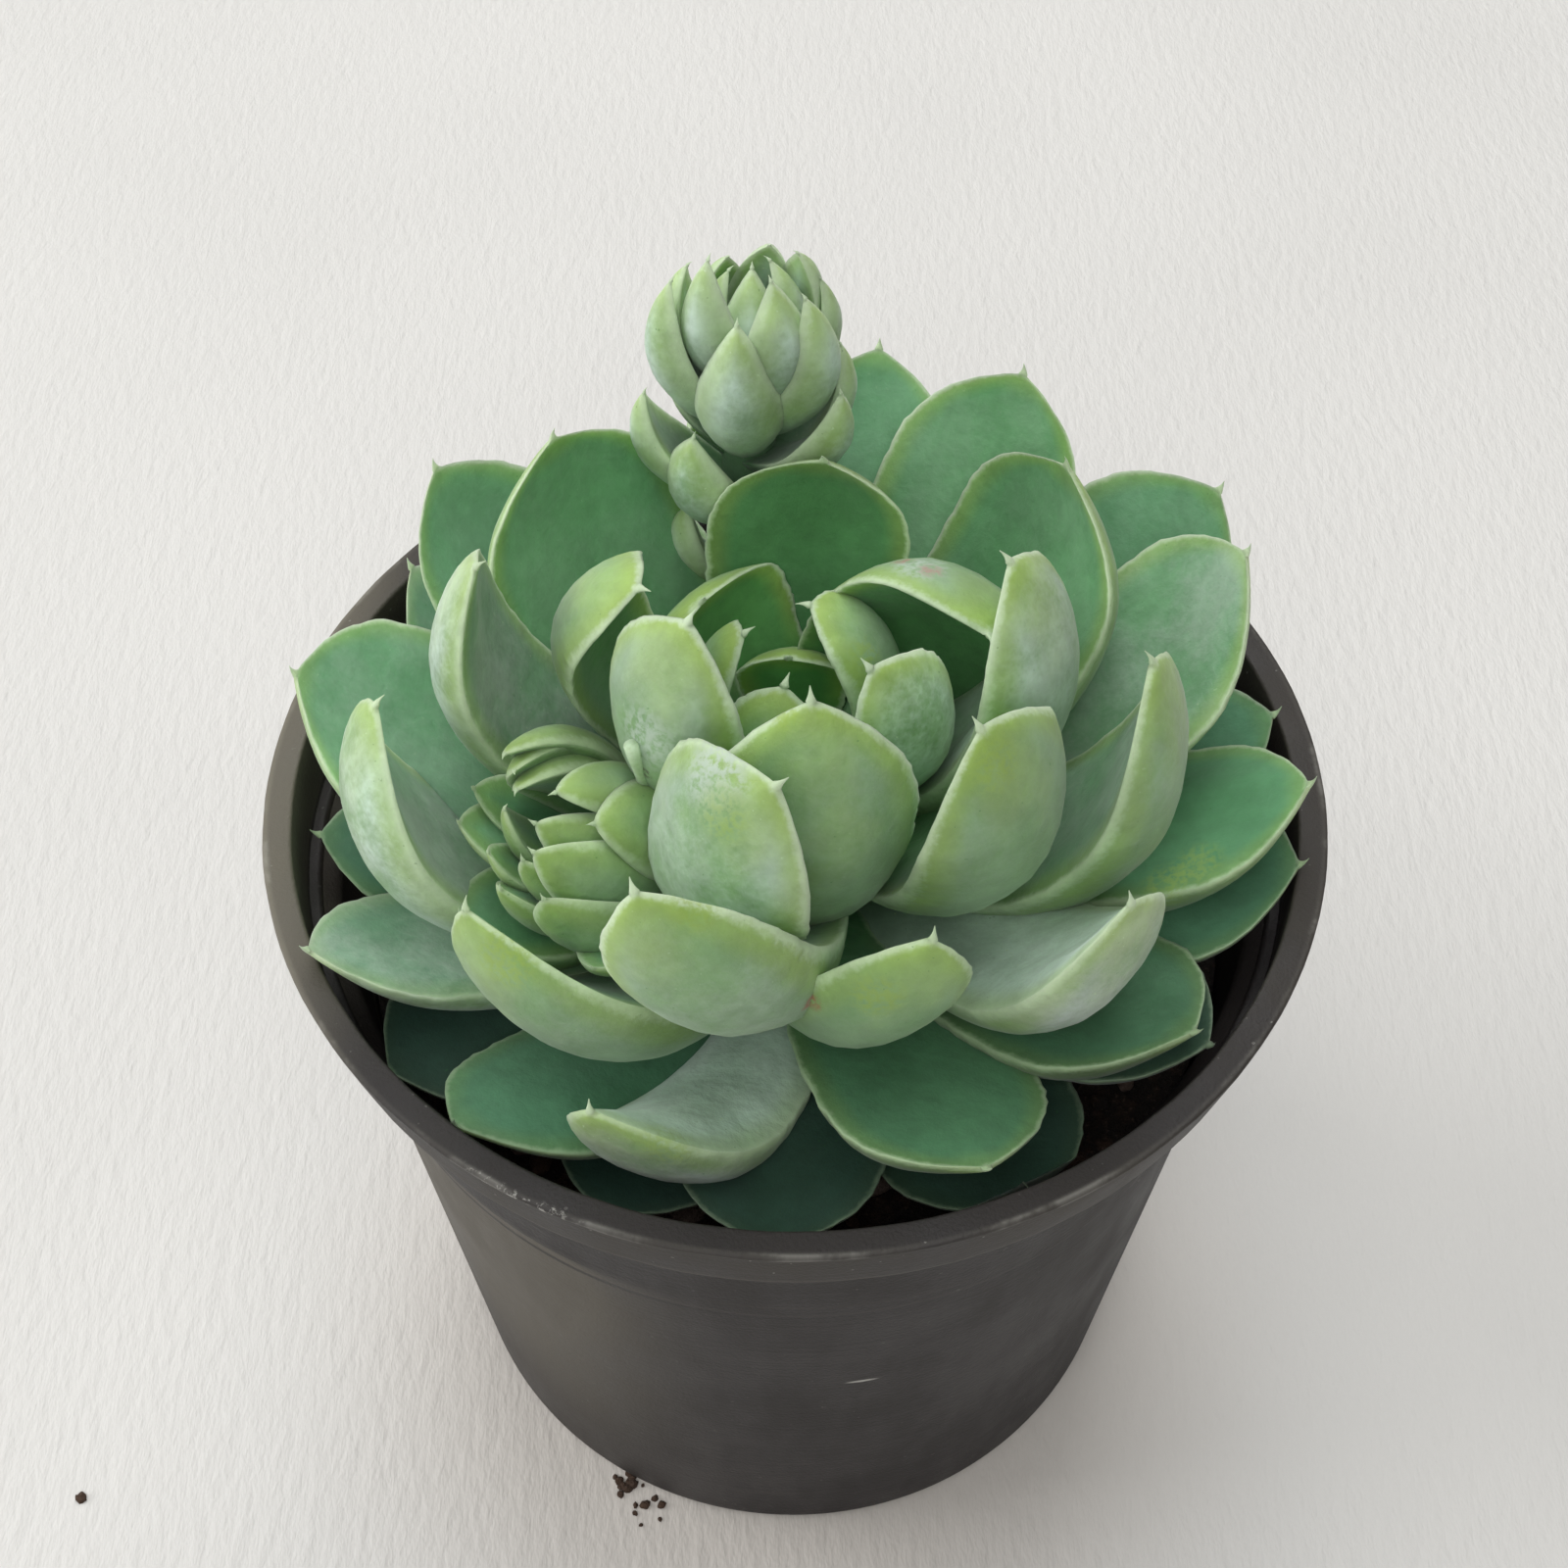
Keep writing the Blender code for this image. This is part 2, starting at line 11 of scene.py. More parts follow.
import bmesh
import bpy
from bpy.props import FloatProperty, FloatVectorProperty, IntProperty, PointerProperty
from bpy.types import Operator, Panel, PropertyGroup
from mathutils import Matrix, Vector, noise


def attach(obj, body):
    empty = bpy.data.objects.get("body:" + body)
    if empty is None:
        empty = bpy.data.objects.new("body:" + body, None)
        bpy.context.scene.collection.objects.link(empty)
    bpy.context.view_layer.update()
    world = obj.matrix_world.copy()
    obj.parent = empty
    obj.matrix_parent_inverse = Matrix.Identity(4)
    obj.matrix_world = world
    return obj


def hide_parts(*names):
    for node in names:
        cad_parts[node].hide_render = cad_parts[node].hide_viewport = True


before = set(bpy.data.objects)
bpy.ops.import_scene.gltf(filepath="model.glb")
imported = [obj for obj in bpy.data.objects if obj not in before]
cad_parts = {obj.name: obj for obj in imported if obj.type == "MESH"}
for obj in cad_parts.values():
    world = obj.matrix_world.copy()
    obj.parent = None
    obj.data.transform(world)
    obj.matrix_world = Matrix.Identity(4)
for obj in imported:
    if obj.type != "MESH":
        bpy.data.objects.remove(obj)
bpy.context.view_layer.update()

bl_info = {
    "name": "Potted Echeveria",
    "version": (1, 0, 0),
    "blender": (4, 5, 0),
    "location": "View3D > Sidebar > Echeveria",
    "description": "Dresses the packed pot, potting mix, rosette, offset and shoot",
    "category": "Object",
}

MM = 0.001
UP = Vector((0, 0, 1))

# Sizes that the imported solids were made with
POT_HEIGHT = 65
RIM_RADIUS = 38
LIP_HEIGHT = 5.7
LIP_FOOT_RADIUS = 36.7
LIP_INNER_RADIUS = 35.8
NECK_HEIGHT = POT_HEIGHT - LIP_HEIGHT
NECK_RADIUS = 34.6
FOOT_RADIUS = 29
WALL = 1.2
WALL_SLOPE = (NECK_RADIUS - FOOT_RADIUS) / NECK_HEIGHT
FLOOR = 1.6
DRAIN_HOLES = 4
DRAIN_HOLE_RADIUS = 3.5
DRAIN_HOLE_REACH = 18
MIX_TOP = 50.5
MIX_GAP = 0.35
STEM_RADIUS = 5
STEM_FOOT = 38
STEM_TOP = 68

# The shallow hollow under the pot, and the rounding at its edges
HOLLOW_RADIUS = 23.5
HOLLOW_DEPTH = 0.5
FOOT_ROUNDING = 0.3
# The faint step round the pot below its lip, and the painted shade line below the step
SHOULDER = 49.8
SHOULDER_LINE = SHOULDER - 2.3
# Where the painted highlight on the pot's lit flanks starts and is strongest, across the pot at its left and
# right, and where the dry film and the highlight grow upwards
LIT_LEFT_SIDE = (-4, -20)
LIT_FAR_LEFT_SIDE = (-27, -36)
LIT_RIGHT_SIDE = (8, 26)
FILM_RISE = (0, 42)
RIM_CHIPS = (-17.5, -33.6, 64.7)
RIM_CHIPS_RADIUS = 5.5
# The scratch is drawn this many times as flat, and its height is given as many times too great.
SCRATCH_FLATNESS = 6
POT_SCRATCH = (5, -31.8, 203)
POT_SCRATCH_RADIUS = 1.6
# Spilt potting mix beside the pot: place on the floor, spread, number of crumbs
FLOOR_CRUMBS = ((-14.8, -26, 0.9, 14), (-11.5, -27.6, 1.2, 7), (-61, -27, 0.3, 3))
# The faint soil stain on the floor, which also paints shade round the pot's foot
STAIN_AND_SHADE_CENTRE = (0, -8, 0)
STAIN_AND_SHADE_RADIUS = 50

# The soft lights, in metres: name, width and height, place. They all face LIGHTS_AIM.
LIGHTS = (
    ("top", (0.9, 0.9), (0, 0, 1.4)),
    ("back", (0.9, 0.9), (0, 0.9, 1.05)),
    ("front", (0.9, 0.9), (-0.1, -0.9, 1.05)),
    ("side", (0.9, 0.9), (-0.9, 0.1, 1.05)),
    ("window", (0.9, 0.5), (-1.2, 0.1, 0.4)),
)
LIGHTS_AIM = (0, 0, 0.05)
SENSOR_WIDTH = 36

# Where the leaves of a ring grow from the stem: height from the rim, distance from the axis
LEAF_FOOT = {"lowest": (-8, 4), "second": (-5, 4), "third": (-3, 4), "fourth": (0, 3), "heart": (3, 2)}
YOUTH = {"lowest": 0.0, "second": 0.25, "third": 0.5, "fourth": 0.8, "heart": 1.0}

# azimuth, reach, height, width, roll, curl, bow, sway, cupping, bloom
# A bloom below 0.2 paints a leaf darker, partly as painted shade on the old low leaves; a high bloom paints
# pale frost, partly as a painted highlight.
LEAVES = {
    "lowest": (
        (-92, 35.5, -4, 14.2, 0, 15, 0, 0, 0.03, -0.9),
        (-129, 36, -1.4, 12.8, 0, 32, -3, 0, -0.1, -0.3),
        (-142, 35.5, -4.5, 15, 0, 15, 0, 0, 0.0, -1),
        (-154, 37, 2, 12.5, -12, 22, 0, 0, -0.02, 1.5),
        (-176, 35, -3, 13, 0, 15, 0, 0, 0.03, -0.4),
        (151, 33, 6, 13, -10, 30, 0, 0, 0.08, 0.6),
        (9, 36, 1, 14, 0, 15, 0, 0, 0.03, -0.2),
        (-13, 36.5, 1, 17, 0, 15, 0, 0, 0.03, -0.3),
        (-20, 31.5, -6, 12, 0, 15, 0, 0, 0.03, -1),
        (-38, 35.5, -1, 14, 0, 15, 0, 0, 0.03, -0.8),
        (-63, 35.3, -6, 15.5, 0, 15, 0, 0, 0.03, -0.8),
        (32, 33, -4, 13, 0, 15, 0, 0, 0.03, 0.5),
        (52, 34, -3, 14, 0, 15, 0, 0, 0.03, 0.4),
        (70, 33, -4, 13, 0, 15, 0, 0, 0.03, 0.5),
        (127, 33, -3, 14, 0, 15, 0, 0, 0.03, 0.5),
        (168, 33, -3, 13, 0, 15, 0, 0, 0.03, 0.4),
        (-112, 34, -7, 14, 0, 15, 0, 0, 0.03, -1),
    ),
    "second": (
        (180, 34.5, 12, 18, 3, 25, 0, 0, 0.03, 0.45),
        (148, 30.5, 16, 15, 0, 25, 0, 0, 0.1, 0.3),
        (28, 35, 13.5, 17, -8, 25, 0, 0, 0.08, 0.3),
        (-8, 36.2, 6, 15.5, 10, 30, 0, 0, -0.03, 0.05),
        (-41, 35, 2.2, 16, 8, 25, 0, 0, -0.02, -0.4),
        (-70, 35.4, 2.3, 15, 8, 25, 0, 0, -0.02, -0.3),
        (-115, 33.2, 4.5, 11.2, -12, 105, -3, -1, -0.16, 2.3),
        (78, 31, 15, 14, 0, 25, 0, 0, 0.08, 0.3),
        (121, 30, 5, 13, 0, 25, 0, 0, 0.05, 0.5),
    ),
    "third": (
        (-165.5, 28.5, 17.6, 13.6, -8, 110, -1.2, -0.6, -0.02, 1.35),
        (-134, 29.9, 14, 11.3, -25, 100, -3, 0, -0.05, 0.5),
        (-95, 25.1, 17, 11, 0, 75, 1, -10.5, -0.05, 0.1),
        (-46, 31, 17.3, 12.2, 0, 80, 0.5, 1.6, -0.08, 2.3),
        (-19, 24, 22, 13.5, 0, 85, 2.5, 0, -0.03, 0.6),
        (14, 32.5, 15.8, 15.5, -5, 30, 2.5, 0, 0.0, 0.7),
        (33, 22.5, 20, 18.5, 8, 35, 1.2, 0, 0.05, 0.3),
        (54.5, 28.8, 18.5, 15.5, 0, 30, 0, 0, 0.08, 0.35),
        (138, 23, 19.7, 19, -6, 30, -1, 0, 0.06, 0.3),
        (195, 20.5, 26, 11.5, 20, 80, 0, 2, -0.05, 1.6),
    ),
    "fourth": (
        (-105, 29, 24, 11.8, -25, 85, -1, 2, -0.05, 0.75),
        (-93, 22, 27, 14, 52, 55, -1, 0, 0.0, 1.05),
        (-50, 19.9, 26, 14, -12, 72, 0, 2.4, 0.0, 0.25),
        (-5, 13.7, 27, 13, 18, 70, 0, 2.6, 0.0, 1.2),
        (80, 11.2, 21.7, 14.5, 5, 30, -1.2, 0, 0.06, -0.35),
        (175, 9.5, 26, 9.5, 25, 90, -0.5, -6, 0.05, 0.4),
        (-87, 15.5, 27, 13.5, 0, 75, 0, 0, 0.0, 0.35),
        (40, 8, 19, 15, -40, 60, -1, 10.5, 0.1, 0.2),
    ),
    "heart": (
        (-124, 12, 28, 11.5, 10, 60, 0, 0, 0.0, 0.8),
        (115, 7, 14.5, 14.5, -20, 40, 0, -4, 0.06, 0.15),
        (-45, 10.5, 24, 9.3, -10, 60, -1.5, 4, 0.0, 1.6),
        (5, 1, 18, 8, 10, 80, 0, -1, 0.0, 0.5),
        (-110, 6.6, 18.5, 7, 0, 60, 0, -1.6, 0.14, 0.5),
        (85, 2.5, 11, 8, 0, 20, 0, -0.8, 0.06, 0.1),
        (180, 3.5, 17.5, 6.5, 0, 50, 0, -1.1, 0.14, 0.4),
        (-60, 6, 17, 5.5, 0, 60, 0, 3.5, 0.14, 0.5),
    ),
}

# Marks on the leaves: place, radius, which of the leaves' colours, strength
LEAF_SPOTS = (
    ((0.9, -25.6, 75.1), 1, "scar", 0.8),
    ((4.9, -26.7, 77.5), 2.4, "band", 0.7),
    ((25.4, -10.4, 66.9), 2.2, "band", 0.5),
    ((27.6, -9.4, 67.8), 2.4, "band", 0.5),
    ((-4.8, -19.7, 90.2), 3.4, "bloom", 0.8),
    ((-4.2, -21.5, 88.8), 2.6, "band", 0.6),
    ((-9.3, -12.6, 85), 2.8, "bloom", 0.7),
    ((4.5, -1.9, 80.3), 2, "band", 0.6),
    ((-5.8, -27.4, 87.6), 2.2, "band", 0.6),
    ((-18, -23.6, 76.7), 2.8, "band", 0.7),
    ((11.7, -17.7, 88.6), 2.4, "band", 0.7),
    ((-0.7, -15.6, 90.8), 1.4, "band", 0.7),
    ((-8.2, -31.7, 66.8), 3.2, "band", 0.5),
    ((-9.4, -12.6, 81.6), 0.7, "litter", 1),
    ((-23.7, -4.1, 82), 0.6, "litter", 0.9),
    ((8.3, 3, 84.3), 2.6, "bloom", 0.7),
    ((7.2, 4.3, 83.6), 1.2, "scar", 0.6),
    ((8.9, 2.2, 84.2), 1.2, "scar", 0.5),
)

OFFSET_FOOT = (-9, -8, 2)
OFFSET_STEM_RADIUS = 2.2
OFFSET_STEM_ROOT = (-3.2, -2.8, -3)
# How far the stem goes on past the foot of the leaves
OFFSET_STEM_REACH = (-1, -0.9, 0.8)
# A broken leaf stub beside the offset
STUB_FOOT = (-9.2, -11.4, 12)
STUB_TIP = (-10.3, -12.6, 19.2)
STUB_RADIUS = 0.5
# tip x, tip y, tip height, width, curl, azimuth that the back of the leaf faces, cupping
OFFSET_LEAVES = (
    (-18.6, -11.5, 17.2, 5, 60, 88, -0.06),
    (-18, -12.3, 16.5, 5.5, 60, 110, -0.04),
    (-17.9, -13.1, 15.5, 5, 60, 95, -0.08),
    (-15.2, -14.3, 16.8, 5, 60, 20, -0.06),
    (-12.7, -16.2, 16, 7, 60, 0, 0.0),
    (-22, -13, 12, 6, 25, 180, 0.0),
    (-21.2, -10.5, 12.5, 5, 20, 160, 0.0),
    (-18.7, -13.8, 14.5, 4, 60, -165, -0.08),
    (-16.5, -15.8, 15.5, 5, 60, -40, -0.1),
    (-16.4, -18.3, 15.8, 6, 60, -45, -0.1),
    (-17.3, -17.6, 14, 5, 50, -90, -0.08),
    (-18.9, -18, 11.5, 6, 45, -120, 0.0),
    (-15.8, -20.3, 13.5, 7, 50, -70, 0.0),
    (-22, -17.5, 6.5, 10, 25, -130, 0.0),
    (-12.8, -23.2, 10, 5, 30, -95, -0.05),
    (-19.8, -15.8, 12.5, 4.5, 50, -160, -0.05),
)

SHOOT_X = -3.3
SHOOT_Y = 19
SHOOT_STALK_RADIUS = 2
# How far from the stalk's axis its leaves start
SHOOT_LEAF_FOOT = 0.8
SHOOT_FOOT = 38
SHOOT_TOP = 26
SHOOT_CURL = 50
# tip x and y from the stalk, tip height, length, width, azimuth that the back of the leaf faces
SHOOT_LEAVES = (
    (-5, -1.8, 31.5, 13, 5.6, -155),
    (-4, 0.5, 31, 11, 5, 165),
    (-2.5, -1.5, 33, 11, 5, -125),
    (-1.3, 2, 30.5, 11, 5, 120),
    (-0.6, -4.5, 30, 13, 6.5, -96),
    (1.7, -2.5, 32, 12, 6, -60),
    (1.6, 2, 31.5, 10, 5, 85),
    (3.5, 0.5, 32, 11, 5, 40),
    (5, 1, 29.5, 10, 5, 5),
    (0.4, 0.2, 31, 12, 5.5, -90),
    (-1.2, 0.6, 30.5, 12, 4.5, -150),
    (1.6, 0.4, 31.5, 12, 4.5, -20),
    (4, -3, 31, 13, 6, -30),
    (6.5, -0.5, 25, 11, 5, 0),
    (6.5, -4.5, 24, 9, 6, -40),
    (-3.8, -4.5, 20, 9, 7, -125),
    (-7.3, -1.5, 21.5, 10, 6, -175),
    (-4.2, 3.5, 25, 10, 6, 145),
    (-0.2, 5, 24.5, 10, 6, 90),
    (4, 4, 24, 10, 6, 50),
    (-3, 4.5, 16, 9, 6, 125),
    (4, 4, 15, 9, 6, 45),
    (0.5, 5, 9, 9, 6, 85),
    (-4.5, -2, 11, 9, 6, -155),
    (4.5, -2.5, 12, 9, 6, -30),
)

# How finely the pieces are made
CURVE_STEPS = 48
STEM_SIDES = 20
HOLE_SIDES = 40
MIX_SIDES = 144
MIX_RINGS = 44
# How far along the spike at a leaf's tip its rings stand
SPIKE_RINGS = (0.12, 0.3, 0.55, 0.8, 1)
# The power that crowds a leaf's stations towards its tip
TIP_CROWDING = 1.35
# How much of a leaf's width is left where the spike starts
TIP_WIDTH = 0.045
# What a leaf keeps clear of the pot's wall
LEAF_GAP = 0.5


class LeafForm:
    """The proportions that the leaves of one piece share.

    mesh is the number of points across a face and along the leaf. depth and foot_width are shares of
    its width. widest is how far along it is widest, and shoulder the power and fullness of its outline
    from there. tip_gap, the spike's length and width, and the wave and tooth of its margin are in
    millimetres.
    """

    def __init__(self, mesh, depth, foot_width, widest, shoulder, tip_gap, spike, wave, tooth):
        self.columns, self.stations = mesh
        self.depth = depth
        self.foot_width = foot_width
        self.widest = widest
        self.shoulder = shoulder
        self.tip_gap = tip_gap
        self.spike, self.spike_width = spike
        self.wave = wave
        self.tooth = tooth

    def half_width(self, t):
        """How wide a leaf is at t of its length, as a share of its widest."""
        if t < self.widest:
            swell = math.sin(t / self.widest * math.pi / 2) ** 1.4
            return self.foot_width + (1 - self.foot_width) * swell
        past = (t - self.widest) / (1 - self.widest)
        power, fullness = self.shoulder
        return TIP_WIDTH + (1 - TIP_WIDTH) * (1 - past**power) ** fullness


ROSETTE_FORM = LeafForm(
    mesh=(15, 50), depth=0.41, foot_width=0.6, widest=0.66, shoulder=(3.2, 0.92), tip_gap=0.75,
    spike=(0.9, 0.3), wave=0.32, tooth=0.22,
)
OFFSET_FORM = LeafForm(
    mesh=(13, 28), depth=0.46, foot_width=0.5, widest=0.6, shoulder=(2.3, 0.8), tip_gap=0.4,
    spike=(0.5, 0.17), wave=0.12, tooth=0.03,
)
SHOOT_FORM = LeafForm(
    mesh=(11, 26), depth=0.44, foot_width=0.6, widest=0.42, shoulder=(1.8, 0.95), tip_gap=0.3,
    spike=(0.5, 0.16), wave=0.12, tooth=0.03,
)


class Wire:
    """A number from a socket. An expression on wires adds the Math nodes that work it out."""

    def __init__(self, paint, socket):
        self.paint = paint
        self.socket = socket

    def _math(self, operation, first, second):
        return self.paint.node("ShaderNodeMath", {"operation": operation}, {0: first, 1: second})

    def __add__(self, other):
        return self._math("ADD", self, other)

    def __sub__(self, other):
        return self._math("SUBTRACT", self, other)

    def __rsub__(self, other):
        return self._math("SUBTRACT", other, self)

    def __mul__(self, other):
        return self._math("MULTIPLY", self, other)

    def __pow__(self, power):
        return self._math("POWER", self, power)

    __radd__ = __add__
    __rmul__ = __mul__


class Paint:
    """One material, and the nodes that colour it."""

    def __init__(self, name):
        self.material = bpy.data.materials.new(name)
        self.material.use_nodes = True
        self.tree = self.material.node_tree
        self.tree.nodes.clear()

    def node(self, kind, settings, sockets, out=0):
        """Adds a node, sets it, then fills its sockets, and returns one of its outputs if it has any."""
        made = self.tree.nodes.new(kind)
        for key, value in settings.items():
            setattr(made, key, value)
        for key, value in sockets.items():
            socket = made.inputs[key]
            if isinstance(value, Wire):
                self.tree.links.new(value.socket, socket)
            elif socket.type == "RGBA":
                socket.default_value = (*value, 1)
            else:
                socket.default_value = value
        return Wire(self, made.outputs[out]) if made.outputs else None

    def attribute(self, name):
        """One of the named values that Shell.add keeps at each point."""
        return self.node("ShaderNodeAttribute", {"attribute_name": name}, {}, "Fac")

    def place(self):
        """Where the surface is, in millimetres."""
        return self.scaled(self.node("ShaderNodeTexCoord", {}, {}, "Object"), 1 / MM)

    def scaled(self, vector, by):
        """The vector or colour times a number."""
        return self.node("ShaderNodeVectorMath", {"operation": "SCALE"}, {0: vector, "Scale": by})

    def stretched(self, vector, scale):
        """The vector times a scale of its own along each axis."""
        return self.node("ShaderNodeVectorMath", {"operation": "MULTIPLY"}, {0: vector, 1: scale})

    def split(self, vector):
        """The vector's x, y and z."""
        x = self.node("ShaderNodeSeparateXYZ", {}, {0: vector})
        return [Wire(self, part) for part in x.socket.node.outputs]

    def joined(self, x, y, z):
        """The vector with these parts."""
        return self.node("ShaderNodeCombineXYZ", {}, {0: x, 1: y, 2: z})

    def noise(self, vector, size, detail=2.0, roughness=0.5):
        """Soft noise from 0 to 1 with features of about this size."""
        sockets = {"Vector": vector, "Scale": 1 / size, "Detail": detail, "Roughness": roughness}
        return self.node("ShaderNodeTexNoise", {}, sockets)

    def smooth(self, value, low, high):
        """0 where the value is at low, 1 where it is at high, with a soft step between."""
        sockets = {"Value": value, "From Min": low, "From Max": high}
        return self.node("ShaderNodeMapRange", {"interpolation_type": "SMOOTHSTEP"}, sockets)

    def mix(self, mask, first, second):
        """The first colour where the mask is 0 and the second where it is 1."""
        settings = {"data_type": "RGBA", "clamp_factor": True}
        return self.node("ShaderNodeMix", settings, {0: mask, 6: first, 7: second}, 2)

    def near(self, place, point, radius):
        """1 at a point, fading to 0 at a radius from it."""
        away = self.node("ShaderNodeVectorMath", {"operation": "DISTANCE"}, {0: place, 1: point}, "Value")
        return self.smooth(away, radius, radius * 0.35)

    def bump(self, height, depth, normal=None):
        """A relief as deep as this, in metres, on top of another one if it is given."""
        sockets = {"Height": height, "Distance": depth, "Strength": 1.0}
        if normal:
            sockets["Normal"] = normal
        return self.node("ShaderNodeBump", {}, sockets)

    def done(self, sockets):
        """The finished material, with these sockets of its shader filled."""
        shader = self.node("ShaderNodeBsdfPrincipled", {}, sockets)
        self.node("ShaderNodeOutputMaterial", {}, {"Surface": shader})
        return self.material


def colour(name, text, default):
    return FloatVectorProperty(name=name, description=text, default=default, subtype="COLOR", min=0, max=1)


def length(name, text, default):
    return FloatProperty(name=name, description=text, default=default, unit="LENGTH", precision=4)


def watts(name, text, default):
    return FloatProperty(name=name, description=text, default=default, unit="POWER", min=0)


def seed_value(default):
    return IntProperty(name="Seed", description="Start of the random draws", default=default)


class PotSettings(PropertyGroup):
    """Finish of the nursery pot."""

    # The clean plastic colour also paints the shade lines at the wall's steps and the shade inside the rim.
    plastic: colour("Plastic", "Colour of the clean pot", (0.017, 0.0135, 0.0145))
    # The dust colour also paints the highlight on the lit flanks and the faint highlights above the wall's
    # steps.
    dust_and_highlight: colour("Dust", "Colour of the dry film on the pot", (0.3, 0.27, 0.205))
    # The chip colour also paints the highlight along the rim's outer edge.
    chip_and_highlight: colour("Chips", "Colour of rubbed and chipped plastic", (0.5, 0.49, 0.45))
    corner: length("Corner", "Rounding of the rim's edges", 0.0003)
    sides: IntProperty(name="Sides", description="Faces round the pot", default=160, min=12)


class MixSettings(PropertyGroup):
    """Make-up of the potting mix."""

    peat: colour("Peat", "Colour of the damp peat", (0.02, 0.015, 0.012))
    bark: colour("Bark", "Colour of the bark chips", (0.09, 0.05, 0.03))
    grit: colour("Grit", "Colour of the grit", (0.3, 0.22, 0.18))
    lump: length("Lumps", "Height of the surface's lumps", 0.0009)
    bits: IntProperty(name="Bits", description="Loose bits on the surface", default=420, min=0)
    seed: seed_value(7)


class LeafSettings(PropertyGroup):
    """Colours of the leaves."""

    outer: colour("Outer green", "Upper faces of the outer leaves", (0.14, 0.36, 0.2))
    inner: colour("Inner green", "Upper faces of the inner leaves", (0.11, 0.36, 0.09))
    below: colour("Underside", "Undersides of the leaves", (0.21, 0.39, 0.16))
    # The deep green is partly the feet's own colour and partly painted shade where the leaves crowd.
    deep: colour("Deep green", "Feet of the leaves", (0.04, 0.19, 0.04))
    bloom: colour("Bloom", "Waxy film on the leaves", (0.52, 0.62, 0.54))
    # The frost colour is partly thick wax and partly a painted highlight on the leaves it is given to.
    frost_and_highlight: colour("Frost", "The thickest wax", (0.7, 0.88, 0.76))
    band: colour("Band", "Yellow-green band inside the margins", (0.34, 0.5, 0.1))
    # The margin colour is partly the pale edges' own colour and partly a painted glow of light through the
    # thin edges and tips.
    margin: colour("Margin", "Pale margins and tips", (0.6, 0.76, 0.5))
    # The old green is partly the colour of old leaves and partly painted shade on the low leaves.
    old: colour("Old green", "Old leaves low in the shade", (0.014, 0.037, 0.031))
    scar: colour("Scar", "Old red marks", (0.42, 0.09, 0.07))
    litter: colour("Litter", "Brown bits caught among the leaves", (0.05, 0.02, 0.015))
    seed: seed_value(3)


class StageSettings(PropertyGroup):
    """Floor, light and camera."""

    floor: colour("Floor", "Colour of the floor", (0.78, 0.77, 0.74))
    # The stain colour is partly a soil stain and partly painted shade round the pot's foot.
    stain_and_shade: colour("Stain", "Faint soil stain round the pot's foot", (0.66, 0.58, 0.5))
    sky: colour("Sky", "Colour of the light from all round", (1.0, 0.99, 0.97))
    sky_strength: FloatProperty(
        name="Sky strength", description="Strength of the light from all round", default=0.12, min=0
    )
    top_power: watts("Top power", "Power of the soft light overhead", 4.6)
    back_power: watts("Back power", "Power of the soft light above the back", 7.1)
    front_power: watts("Front power", "Power of the soft light above the front", 6.2)
    side_power: watts("Side power", "Power of the soft light above the left side", 3.2)
    window_power: watts("Window power", "Power of the low light at the left", 5.7)
    lens: FloatProperty(name="Lens", description="Focal length of the camera", default=54, unit="CAMERA")
    tilt: FloatProperty(
        name="Tilt",
        description="Turn of the camera up from straight down",
        default=math.radians(38.7),
        subtype="ANGLE",
    )
    position: FloatVectorProperty(
        name="Camera position",
        description="Where the camera stands",
        default=(-0.000775, -0.10583, 0.19676),
        subtype="TRANSLATION",
        unit="LENGTH",
    )
    seed: seed_value(5)


def heading(azimuth):
    """The cosine and sine of an azimuth in degrees."""
    angle = math.radians(azimuth)
    return math.cos(angle), math.sin(angle)


def circle(sides, turned=0.0):
    """The cosine and sine of each step round a circle, turned by this share of a step."""
    angles = [math.tau * (i + turned) / sides for i in range(sides)]
    return [(math.cos(angle), math.sin(angle)) for angle in angles]


def wall_radius(height):
    """Outer radius of the pot's tapered wall at a height."""
    return FOOT_RADIUS + WALL_SLOPE * height


def mesh_of(name, shape):
    """A mesh made from a bmesh, which is freed."""
    mesh = bpy.data.meshes.new(name)
    shape.to_mesh(mesh)
    shape.free()
    return mesh


def placed(name, data):
    """A new object in the scene."""
    obj = bpy.data.objects.new(name, data)
    bpy.context.scene.collection.objects.link(obj)
    return obj


class Shell:
    """Points, faces and named values for a mesh that is put together from closed shells."""

    def __init__(self, names=()):
        self.points = []
        self.faces = []
        self.values = {name: [] for name in names}

    def add(self, point, **values):
        """Adds a point, given in millimetres, with its named values, and returns its number."""
        self.points.append(point * MM)
        for name, store in self.values.items():
            store.append(values.get(name, 0.0))
        return len(self.points) - 1

    def tube(self, rings):
        """Joins each ring of points to the next."""
        for lower, upper in zip(rings, rings[1:]):
            for i in range(len(lower)):
                j = (i + 1) % len(lower)
                self.faces.append((lower[i], lower[j], upper[j], upper[i]))

    def fan(self, ring, point):
        """Closes a ring of points with one more point."""
        for i in range(len(ring)):
            self.faces.append((ring[i], ring[(i + 1) % len(ring)], point))

    def object(self, name, material):
        """The piece that these points and faces make, smooth and with its material."""
        mesh = bpy.data.meshes.new(name)
        mesh.from_pydata(self.points, [], self.faces)
        shape = bmesh.new()
        shape.from_mesh(mesh)
        bmesh.ops.recalc_face_normals(shape, faces=shape.faces)
        shape.to_mesh(mesh)
        shape.free()
        for key, store in self.values.items():
            mesh.attributes.new(key, "FLOAT", "POINT").data.foreach_set("value", store)
        mesh.shade_smooth()
        mesh.materials.append(material)
        return placed(name, mesh)


